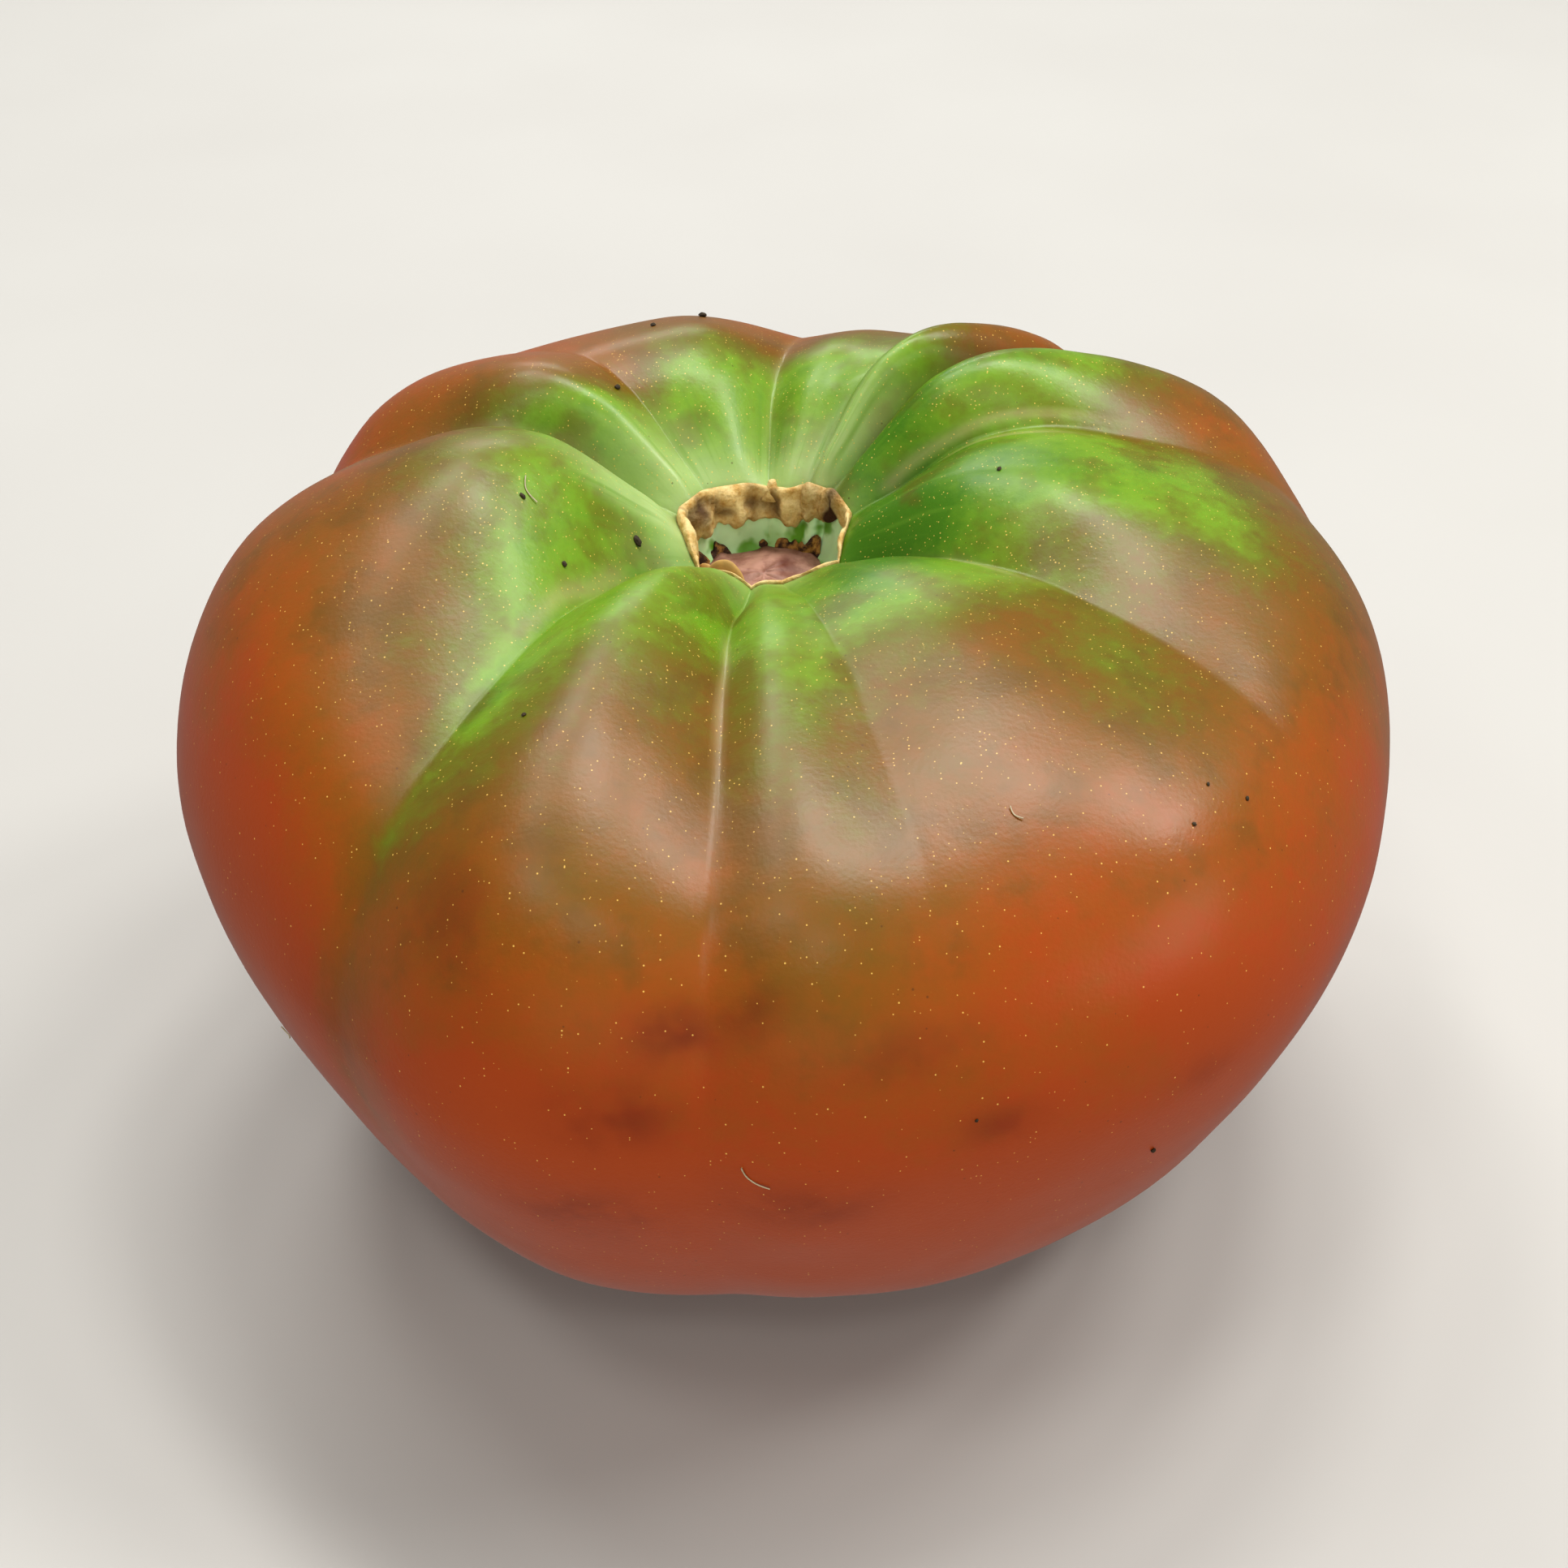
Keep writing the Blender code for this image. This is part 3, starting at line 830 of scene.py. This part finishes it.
class TomatoScar(bpy.types.PropertyGroup):
    """Sizes and colours of the stem scar and the blossom scar"""
    cork_roughness: length_property("Cork Roughness", "Height of the cork's lumps", 0.25)
    torn_thickness: length_property("Torn Thickness", "Thickness of the torn fibres", 0.25)
    blossom_across: length_property("Blossom Scar", "Width of the blossom scar", 4.5)
    seed: seed_property("Picks another set of lumps and tears", 7)
    cork_tan: colour_property("Cork", "Dry cork", "#c09a5a")
    # lighter cork and painted highlight
    pale_cork_and_highlight: colour_property("Pale Cork", "Highest lumps of the cork", "#dcc088")
    cork_brown: colour_property("Brown Cork", "Weathered patches of cork", "#a07236")
    torn_brown: colour_property("Torn Brown", "Torn fibres and the cork's hollows", "#3e2210")
    flesh_pale: colour_property("Pale Flesh", "Bare flesh", "#daf2c6")
    flesh_green: colour_property("Green Flesh", "Green cores in the flesh", "#6ca02c")
    # painted shade that greys the scar's right wall
    flesh_painted_shade: colour_property("Grey Flesh", "Smooth wall of the scar", "#a8c494")
    core_pink: colour_property("Core Pink", "Dried core", "#a87e6c")
    core_brown: colour_property("Core Brown", "Folds of the dried core", "#7e5444")
    core_red: colour_property("Core Mark", "Dark mark across the core", "#5a2410")


class TomatoLitter(bpy.types.PropertyGroup):
    """Crumbs and fibres on the skin"""
    crumb_roughness: share_property("Crumb Roughness", "Lumps on a crumb, as a share of it", 0.35)
    fibre_thickness: length_property("Fibre Thickness", "Thickness of a dry fibre", 0.10)
    seed: seed_property("Turns the crumbs another way", 3)
    soil_dark: colour_property("Dark Soil", "Darker crumbs", "#1c1810")
    soil_brown: colour_property("Brown Soil", "Lighter crumbs", "#4a3c28")
    fibre_pale: colour_property("Pale Fibre", "Light parts of a fibre", "#c8bea0")
    fibre_brown: colour_property("Brown Fibre", "Darker parts of a fibre", "#8a7858")


class TomatoStage(bpy.types.PropertyGroup):
    """Floor, light and camera"""
    elevation: FloatProperty(name="Elevation", description="How far the camera looks down",
                             default=math.radians(38.0), subtype="ANGLE")
    view_angle: FloatProperty(name="View Angle", description="The camera's angle of view",
                              default=math.radians(40.0), subtype="ANGLE")
    distance: length_property("Distance", "From the camera to the point it looks at", 183.7)
    light: share_property("Light", "Strength of every lamp, as a factor", 1.0, 3.0)
    sky: share_property("Sky", "Strength of the even light from all round", 0.29, 3.0)
    floor: colour_property("Floor", "Colour of the floor", "#b6b4ae")
    floor_shade: colour_property("Floor Shade", "Colour of its faint unevenness", "#afaca6")


# ---- Pieces ----

class TOMATO_OT_skin(bpy.types.Operator):
    """Adds the ribbed skin, closed under the stem scar and at the blossom end"""
    bl_idname = "tomato.add_skin"
    bl_label = "Ribbed Skin"

    def execute(self, context):
        shape = context.scene.tomato_shape
        azimuths = skin_spokes()
        stations = skin_stations()
        rule = skin_rule(azimuths[None], stations[:, None], shape.across, shape.height)
        rule["place"] = rule["place"] + centring(shape.across, shape.height)
        rings, attributes = skin_rings(azimuths, stations, rule)
        points, faces = closed_grid(rings, closed_section=False)
        skin = mesh_object("tomato_skin", points, faces, attributes)
        add_rib_uv(skin, attributes)
        shaped_by(skin, ribbed_skin_tree(), {
            "Across": shape.across, "Height": shape.height, "Crease Depth": shape.crease_depth,
            "Waviness": shape.waviness, "Wave Size": shape.wave_size, "Seed": shape.seed,
            "Score Depth": 1.0, "Skin": tomato_skin_material()})
        if len(skin.data.vertices) != len(points):
            raise RuntimeError("the skin lost points while it was shaped")
        faced_outwards(skin)
        finish_piece(skin, replaces=NODE)
        return {"FINISHED"}


def skin_spokes():
    """Azimuths of the skin's grid, closest together beside each crease."""
    ends = np.append(CREASES[1:], CREASES[0] + 360)
    spokes = []
    for start, end in zip(CREASES, ends):
        count = max(FEWEST_SPOKES, round(SPOKES * (end - start) / 360))
        share = np.arange(count) / count
        eased = 0.5 - 0.5 * np.cos(np.pi * share)
        spokes.append(start + (end - start) * (0.45 * share + 0.55 * eased))
    return np.concatenate(spokes)


def skin_stations():
    """Station numbers of the skin's rings, from the rim down."""
    parts = [start + np.arange(count) / count for start, count in enumerate(RINGS_BETWEEN_STATIONS)]
    return np.append(np.concatenate(parts), LAST_STATION)


def skin_rings(azimuths, stations, rule):
    """The skin's rings from the bowl's pole to the blossom end, and what each point stores."""
    shape = bpy.context.scene.tomato_shape
    azimuth, station = np.meshgrid(azimuths, stations)
    painted = skin_paint(azimuth, station)
    painted.update({key: values for key, values in rule.items() if key != "place"})
    grid = placed(rule, shape.across, shape.height)

    inner = [pit_point(azimuths, share, drop) for share, drop in reversed(BOWL_UNDER_SCAR)]
    pole = inner[0].mean(0)[None]
    blossom = grid[-1].mean(0)[None]
    inside = 1 + len(inner) * len(azimuths)
    attributes = {
        "place": np.concatenate([pole] + inner + [rule["place"].reshape(-1, 3)] + [blossom]),
        "along": np.concatenate([np.zeros(inside), (station / LAST_STATION).ravel(), [1.0]]),
    }
    for key, values in painted.items():
        first, last = (0.0, 0.0) if key in MOVERS else (values[0].mean(), values[-1].mean())
        attributes[key] = np.concatenate([np.full(inside, first), values.ravel(), [last]])
    return [pole] + inner + list(grid) + [blossom], attributes


def skin_paint(azimuth, station):
    """How ripe, pale, dark and dotted the skin is, and its crease grooves with their painted
    highlight.
    """
    past = station - np.interp(azimuth, *GREEN_REACH.T, period=360)
    ripeness = 0.46 + 0.30 * np.tanh(past / 1.1) + 0.16 * np.tanh(past - 1.6) + 0.055 * past
    ripeness = np.maximum(ripeness, 0.20 + 0.02 * past) + blotches(azimuth, station, RIPE_BLOTCHES)

    # pale skin near the stem, partly painted light that lifts the shade of the hollow
    amount, _ = eased_round(azimuth, PALE_SKIN_AND_PAINTED_LIGHT[:, 0], PALE_SKIN_AND_PAINTED_LIGHT[:, 1])
    ends_at, _ = eased_round(azimuth, PALE_SKIN_AND_PAINTED_LIGHT[:, 0], PALE_SKIN_AND_PAINTED_LIGHT[:, 2])
    glands = 0.12 + 0.80 * smooth_step((4.8 - station) / 3.2) * smooth_step((station + 0.6) / 1.8)

    score = np.zeros(azimuth.shape)
    groove = np.zeros(azimuth.shape)
    half_across = bpy.context.scene.tomato_shape.across / 2 / MM
    out = np.interp(station, np.arange(LAST_STATION + 1), STATIONS[:, 0])
    # each line is a groove in the skin with a painted highlight along it
    for middle, first, last, half_width, strength, depth in CREASE_GROOVES_AND_HIGHLIGHTS:
        offset = np.radians(degrees_from(azimuth, middle)) * out * half_across
        offset += 0.25 * half_width * np.sin(station * 7.0 + middle)
        ends = smooth_step((station - first) / 0.5) * smooth_step((last - station) / 0.8)
        line = np.exp(-(offset / half_width) ** 2) * ends
        score += strength * line
        groove += depth * MM * line
    return {
        "ripeness": ripeness, "pale": amount * smooth_step((ends_at - station) / 1.4 + 0.1),
        "streaks": 0.5 * smooth_step((3.0 - station) / 1.5) * smooth_step(station / 1.2),
        "dark": blotches(azimuth, station, DARK_BLOTCHES), "glands": glands,
        "score": np.clip(score, 0, 1), "groove": groove,
        "soft": smooth_step((station - 0.2) / 1.5) * smooth_step((8.2 - station) / 1.2),
    }


def add_rib_uv(skin, attributes):
    """A UV map that runs round the fruit and down its ribs, cut where the azimuth starts again."""
    mesh = skin.data
    points = np.zeros(len(mesh.loops), int)
    mesh.loops.foreach_get("vertex_index", points)
    counts = np.zeros(len(mesh.polygons), int)
    mesh.polygons.foreach_get("loop_total", counts)
    face_of = np.repeat(np.arange(len(counts)), counts)
    turn = np.mod(attributes["azimuth"][points] / (2 * math.pi), 1.0)
    most = np.zeros(len(counts))
    np.maximum.at(most, face_of, turn)
    turn = np.where(most[face_of] - turn > 0.5, turn + 1.0, turn)
    layer = mesh.uv_layers.new(name="RibUV")
    layer.data.foreach_set("uv", np.stack([turn, attributes["along"][points]], -1).ravel())


def scar_azimuths(count):
    """Evenly spaced azimuths round the scar."""
    return np.arange(count) * 360.0 / count - 180


def cork_pits(points):
    """How deep in one of the cork's pits each point is, from 0."""
    seed = bpy.context.scene.tomato_scar.seed + 2
    return np.clip(fine_noise(points, 0.0016, seed, 2) - 0.45, 0, 1) * 2


class TOMATO_OT_scar_cork(bpy.types.Operator):
    """Adds the ring of rough cork round the stem scar"""
    bl_idname = "tomato.add_scar_cork"
    bl_label = "Scar Cork"

    def execute(self, context):
        scar = context.scene.tomato_scar
        azimuths = scar_azimuths(300)
        rim, centre, _ = scar_rim(azimuths)
        width, _ = eased_round(azimuths, CORK_BAND[:, 0], CORK_BAND[:, 1] * MM)
        thick, _ = eased_round(azimuths, CORK_BAND[:, 0], CORK_BAND[:, 2] * MM)
        ragged = 1 + 0.22 * fine_noise(rim, 0.0012, scar.seed)
        inward = -unit((rim - centre) * (1, 1, 0))
        downward = unit(pit_point(azimuths, 0.92, 0.55) - rim)
        rings = []
        for turn in np.arange(CORK_SECTION) * 2 * math.pi / CORK_SECTION:
            # the section is a flat loop that starts over the rim and runs down the wall
            along = (0.5 - 0.5 * math.cos(turn)) * width * ragged - 0.35 * thick
            off = math.sin(turn) * thick * 0.5
            ring = rim + downward * along[:, None] + inward * (off + 0.30 * thick)[:, None]
            ring[:, 2] += (0.55 * thick * max(math.cos(turn), 0)) + np.maximum(off, 0) * 0.35
            lumps = fine_noise(ring, 0.0011, scar.seed + 1, 4)
            strength = np.clip(thick / (0.8 * MM), 0.15, 1.0) * max(math.sin(turn) + 0.35, 0.0)
            reach = scar.cork_roughness * strength
            ring += inward * ((lumps - cork_pits(ring)) * reach)[:, None]
            ring[:, 2] += lumps * reach * 0.6
            rings.append(ring)
        points, faces = closed_grid(rings, closed_section=True)
        hollow = cork_pits(points) + blotches(np.tile(azimuths, len(rings)), 0.0, CORK_BROWN)
        add_shell("stem_scar_cork", points, faces, cork_material(), hollow=hollow)
        return {"FINISHED"}


class TOMATO_OT_scar_flesh(bpy.types.Operator):
    """Adds the wall of bare flesh inside the stem scar"""
    bl_idname = "tomato.add_scar_flesh"
    bl_label = "Scar Flesh"

    def execute(self, context):
        scar = context.scene.tomato_scar
        azimuths = scar_azimuths(240)
        rings, low = [], []
        for share, drop in FLESH_FACE:
            ring = pit_point(azimuths, share, drop)
            lumps = fine_noise(ring, 0.0020, scar.seed + 5, 3) * min(drop * 2, 1)
            outward = unit((ring - ring.mean(0)) * (1, 1, 0))
            rings.append(ring - outward * (0.16 * MM * lumps + 0.05 * MM)[:, None])
            low.append(np.clip((drop - 0.45) * 2 + 0.4 * lumps, 0, 1))
        for share, drop in FLESH_BACK:
            rings.append(pit_point(azimuths, share, drop))
            low.append(np.zeros(len(azimuths)))
        # the scar's right wall gets painted shade and no green low down
        shaded_side = np.exp(-((np.tile(azimuths, len(rings)) - 88) / 26) ** 2)
        add_shell("stem_scar_flesh", *closed_grid(rings, closed_section=True),
                  scar_flesh_material(), low=0.75 * np.concatenate(low) * (1 - shaded_side),
                  shaded=0.8 * shaded_side)
        return {"FINISHED"}


class TOMATO_OT_scar_core(bpy.types.Operator):
    """Adds the dried core on the floor of the stem scar"""
    bl_idname = "tomato.add_scar_core"
    bl_label = "Scar Core"

    def execute(self, context):
        scar = context.scene.tomato_scar
        azimuths = scar_azimuths(120)
        rings = [pit_point(azimuths, 0.02, 0.80).mean(0)[None]]
        for share in CORE_RINGS:
            ring = pit_point(azimuths, share, 0.80 + 0.16 * share ** 2)
            fold = fine_noise(ring, 0.0024, scar.seed + 9, 3)
            ring[:, 2] += 0.28 * MM * fold * min(share * 3, 1)
            rings.append(ring)
        rings += [pit_point(azimuths, share, 1.04) for share in (0.79, 0.4)]
        rings.append(pit_point(azimuths, 0.02, 1.04).mean(0)[None])
        points, faces = closed_grid(rings)
        across, back, _ = (points - points[0]).T / MM
        off_mark = ((across - 1.5 - 0.15 * back) / 0.55) ** 2 + ((back - 1.4) / 1.7) ** 2
        add_shell("stem_scar_core", points, faces, dried_core_material(),
                  mark=0.95 * np.exp(-off_mark))
        return {"FINISHED"}


class TOMATO_OT_scar_tears(bpy.types.Operator):
    """Adds the torn fibres round the core, the curled flap at the front left and the nub behind"""
    bl_idname = "tomato.add_scar_tears"
    bl_label = "Scar Tears"

    def execute(self, context):
        scar = context.scene.tomato_scar
        azimuths = scar_azimuths(360)
        height = np.zeros(len(azimuths))
        for middle, spread, tall in TORN_TUFTS:
            tuft = tall * MM * np.exp(-(degrees_from(azimuths, middle) / spread) ** 2)
            height = np.maximum(height, tuft)
        foot = pit_point(azimuths, 0.775, 0.98)
        teeth = 0.65 + 0.55 * fine_noise(foot, 0.0009, scar.seed + 11, 3)
        height = (height + 0.10 * MM) * np.clip(teeth, 0.1, 1.3)
        outward = unit((foot - foot.mean(0)) * (1, 1, 0))
        half = scar.torn_thickness / 2
        rings = []
        for level, side in TORN_SECTION:
            curl = 0.30 * MM * fine_noise(foot, 0.0014, scar.seed + 12, 2) * level
            ring = foot + outward * (side * half + 0.35 * height * level + curl)[:, None]
            ring[:, 2] += height * level
            rings.append(ring)
        add_shell("stem_scar_tears", *closed_grid(rings, closed_section=True), torn_material(),
                  tan=0.0)
        self.add_flap(scar)
        self.add_nub(scar)
        return {"FINISHED"}

    def add_flap(self, scar):
        """A strip of dry tissue that curls up from the wall and over towards the core."""
        across, along = 28, 18
        column, row = np.meshgrid(np.arange(across + 1) / across, np.arange(along + 1) / along)
        wide = np.sin(np.pi * column) ** 0.5
        curl = np.sin(np.pi * np.minimum(row * 1.15, 1.0))
        sheet = pit_point(-50 + 42 * column, 0.97 - 0.30 * row * wide, 0.40 - 0.52 * curl * wide)
        sheet[..., 2] += 0.22 * MM * fine_noise(sheet, 0.0012, scar.seed + 20, 3) * row

        # each ring runs along the top of a row and back underneath, and strips close the two ends
        half = (0.0, 0.0, 0.08 * MM)
        rings = [np.concatenate([line + half, (line - half)[::-1]]) for line in sheet]
        points, faces = closed_grid(rings)
        for start in (0, along * 2 * (across + 1)):
            under = start + 2 * across
            faces += [(start + step, start + step + 1, under - step, under - step + 1)
                      for step in range(across)]
        add_shell("stem_scar_flap", points, faces, torn_material(), tan=0.75)

    def add_nub(self, scar):
        """A knob of cork that stands on the rim behind."""
        base = scar_rim(np.array([NUB_AZIMUTH]))[0][0]
        rings = []
        for radius, level in NUB_PROFILE:
            flat = round_axis(np.radians(scar_azimuths(28)), radius * MM, level * MM) * (1, 0.8, 1)
            ring = base + flat
            ring[:, :2] += (0.10 * MM * fine_noise(ring, 0.0007, scar.seed + 30, 3))[:, None]
            rings.append(ring)
        add_shell("stem_scar_nub", *closed_grid(capped(rings)), cork_material(), hollow=0.0)


class TOMATO_OT_blossom_scar(bpy.types.Operator):
    """Adds the small star of cork where the blossom was"""
    bl_idname = "tomato.add_blossom_scar"
    bl_label = "Blossom Scar"

    def execute(self, context):
        scar = context.scene.tomato_scar
        azimuths = scar_azimuths(150)
        middle = skin_point(azimuths, float(LAST_STATION)).mean(0)
        turn = np.radians(azimuths)
        star = 0.68 + 0.32 * np.cos(turn * 5 + 0.7) + 0.12 * np.sin(turn * 9)
        rings = []
        for share, low in BLOSSOM_PROFILE:
            ring = middle + round_axis(turn, scar.blossom_across / 2 * share * star, -low * MM)
            ring[:, 2] += 0.06 * MM * fine_noise(ring, 0.0009, scar.seed + 40, 3)
            rings.append(ring)
        add_shell("blossom_scar", *closed_grid(capped(rings)), cork_material(), hollow=0.25)
        return {"FINISHED"}


def on_skin(azimuth, station):
    """The point and normal of the finished skin nearest to an azimuth and station."""
    return nearest_skin(Vector(skin_point([azimuth], [station])[0]))


def nearest_skin(spot):
    """The point and normal of the finished skin nearest to a spot."""
    skin = bpy.data.objects.get("tomato_skin")
    if skin is None:
        raise RuntimeError("add the skin first")
    found, place, normal, _ = skin.closest_point_on_mesh(spot)
    if not found:
        raise RuntimeError("no skin near a crumb or fibre")
    return place, normal


class TOMATO_OT_litter(bpy.types.Operator):
    """Adds the crumbs of soil and the dry fibres that lie on the skin"""
    bl_idname = "tomato.add_litter"
    bl_label = "Crumbs and Fibres"

    def execute(self, context):
        litter = context.scene.tomato_litter
        places, facings, sizes = [], [], []
        for azimuth, station, long, wide in SOIL_CRUMBS:
            place, normal = on_skin(azimuth, station)
            places.append(place + normal * wide * MM * 0.25)
            facings.append(normal)
            sizes.append((long * MM, wide * MM, 0.7 * wide * MM))
        crumbs = mesh_object("soil_crumbs", places, [], {"facing": facings, "size": sizes})
        shaped_by(crumbs, crumb_tree(), {"Roughness": litter.crumb_roughness, "Seed": litter.seed,
                                         "Soil": soil_material()})
        finish_piece(crumbs)

        points, edges = [], []
        for azimuth, station, long, heading in DRY_FIBRES:
            place, normal = on_skin(azimuth, station)
            turn = math.radians(heading)
            forward = normal.cross(Vector((math.sin(turn), math.cos(turn), 0.2))).normalized()
            sideways = normal.cross(forward)
            for step in range(FIBRE_STEPS + 1):
                share = step / FIBRE_STEPS - 0.5
                bow = 0.18 * math.cos(share * math.pi)
                rest, face = nearest_skin(place + (forward * share + sideways * bow) * long * MM)
                points.append(rest + face * litter.fibre_thickness * (0.6 + 1.8 * abs(share)))
                if step:
                    edges.append((len(points) - 2, len(points) - 1))
        fibres = mesh_object("dry_fibres", points, [], edges=edges)
        shaped_by(fibres, fibre_tree(), {"Thickness": litter.fibre_thickness,
                                         "Fibre": fibre_material()})
        finish_piece(fibres)
        return {"FINISHED"}


# Soft lamps: (azimuth and elevation of the lamp, width and height in metres, power in watts,
# whether the skin mirrors it)
LAMPS = (
    (4, 58, 0.20, 0.14, 0.55, True),
    (96, 48, 0.22, 0.15, 1.8, True),
    (62, 20, 0.50, 0.30, 0.9, True),
    (178, 69, 0.22, 0.12, 1.9, True),
    (138, 72, 0.18, 0.14, 1.7, True),
    (114, 58, 0.22, 0.20, 1.8, True),
    (-125, 66, 0.15, 0.14, 0.7, True),
    (-152, 52, 0.30, 0.15, 1.5, True),
    (-52, 67, 0.20, 0.15, 0.8, True),
    (-172, 24, 0.40, 0.12, 0.8, True),
    (0, 16, 0.90, 0.45, 3.4, False),
)
LAMP_DISTANCE = 0.9             # metres from the fruit's middle to each lamp
FLOOR_REACH = 3.0               # metres from the fruit's middle to the floor's edges
CAMERA_AIM = (-0.34, 5.15, 26.9)    # mm, the point that the camera looks at


def add_looking_at(data, aim, azimuth, elevation, distance):
    """Adds a lamp or the camera, looking at a point from an azimuth and elevation in radians."""
    flat = math.cos(elevation)
    away = Vector((math.sin(azimuth) * flat, -math.cos(azimuth) * flat, math.sin(elevation)))
    thing = bpy.data.objects.new(data.name, data)
    thing.location = aim + away * distance
    thing.rotation_euler = away.to_track_quat("Z", "Y").to_euler()
    bpy.context.scene.collection.objects.link(thing)
    return thing


class TOMATO_OT_stage(bpy.types.Operator):
    """Adds the floor, the lamps, the sky and the camera"""
    bl_idname = "tomato.add_stage"
    bl_label = "Stage"

    def execute(self, context):
        scene = context.scene
        stage = scene.tomato_stage
        low, high = (np.array(corner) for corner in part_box(NODE))
        corners = [(x * FLOOR_REACH, y * FLOOR_REACH, low[2])
                   for x, y in ((-1, -1), (1, -1), (1, 1), (-1, 1))]
        floor = mesh_object("floor", corners, [(0, 1, 2, 3)])
        floor.data.materials.append(floor_material())
        floor.visible_glossy = False     # the waxy skin would otherwise look dusty low down

        middle = Vector((low + high) / 2)
        for number, (azimuth, elevation, wide, tall, power, mirrored) in enumerate(LAMPS):
            data = bpy.data.lights.new(f"soft_lamp_{number}", "AREA")
            data.shape = "ELLIPSE"
            data.size, data.size_y = wide, tall
            data.energy = power * stage.light
            lamp = add_looking_at(data, middle, math.radians(azimuth), math.radians(elevation),
                                  LAMP_DISTANCE)
            lamp.visible_glossy = mirrored

        world = bpy.data.worlds.new("even_sky")
        world.use_nodes = True
        sky = world.node_tree.nodes["Background"]
        sky.inputs["Color"].default_value = (1.0, 1.0, 1.0, 1.0)
        sky.inputs["Strength"].default_value = stage.sky
        scene.world = world
        scene.view_settings.view_transform = "Standard"
        scene.view_settings.look = "Medium High Contrast"

        data = bpy.data.cameras.new("camera")
        data.sensor_width = 36.0
        data.lens = data.sensor_width / 2 / math.tan(stage.view_angle / 2)
        data.clip_start = 0.01
        scene.camera = add_looking_at(data, Vector(CAMERA_AIM) * MM, 0.0, stage.elevation,
                                      stage.distance)
        return {"FINISHED"}


PIECES = (TOMATO_OT_skin, TOMATO_OT_scar_cork, TOMATO_OT_scar_flesh, TOMATO_OT_scar_core,
          TOMATO_OT_scar_tears, TOMATO_OT_blossom_scar, TOMATO_OT_litter, TOMATO_OT_stage)
GROUPS = {"tomato_shape": TomatoShape, "tomato_skin_finish": TomatoSkinFinish,
          "tomato_scar": TomatoScar, "tomato_litter": TomatoLitter, "tomato_stage": TomatoStage}


class TOMATO_PT_panel(bpy.types.Panel):
    """Lists the pieces and what may be changed"""
    bl_idname = "TOMATO_PT_panel"
    bl_label = "Ribbed Tomato"
    bl_space_type = "VIEW_3D"
    bl_region_type = "UI"
    bl_category = "Tomato"

    def draw(self, context):
        for piece in PIECES:
            self.layout.operator(piece.bl_idname)
        for name, group in GROUPS.items():
            box = self.layout.box()
            box.label(text=group.__doc__)
            for field in group.__annotations__:
                box.prop(getattr(context.scene, name), field)


def register():
    """Registers the groups, the pieces and the panel."""
    for name, group in GROUPS.items():
        bpy.utils.register_class(group)
        setattr(bpy.types.Scene, name, PointerProperty(type=group))
    for thing in PIECES + (TOMATO_PT_panel,):
        bpy.utils.register_class(thing)


def unregister():
    """Takes back what register added."""
    for thing in reversed(PIECES + (TOMATO_PT_panel,)):
        bpy.utils.unregister_class(thing)
    for name, group in reversed(GROUPS.items()):
        delattr(bpy.types.Scene, name)
        bpy.utils.unregister_class(group)


def main():
    """Registers and builds every piece and the stage."""
    register()
    for piece in PIECES:
        namespace, action = piece.bl_idname.split(".")
        getattr(getattr(bpy.ops, namespace), action)()


if __name__ == "__main__":
    main()
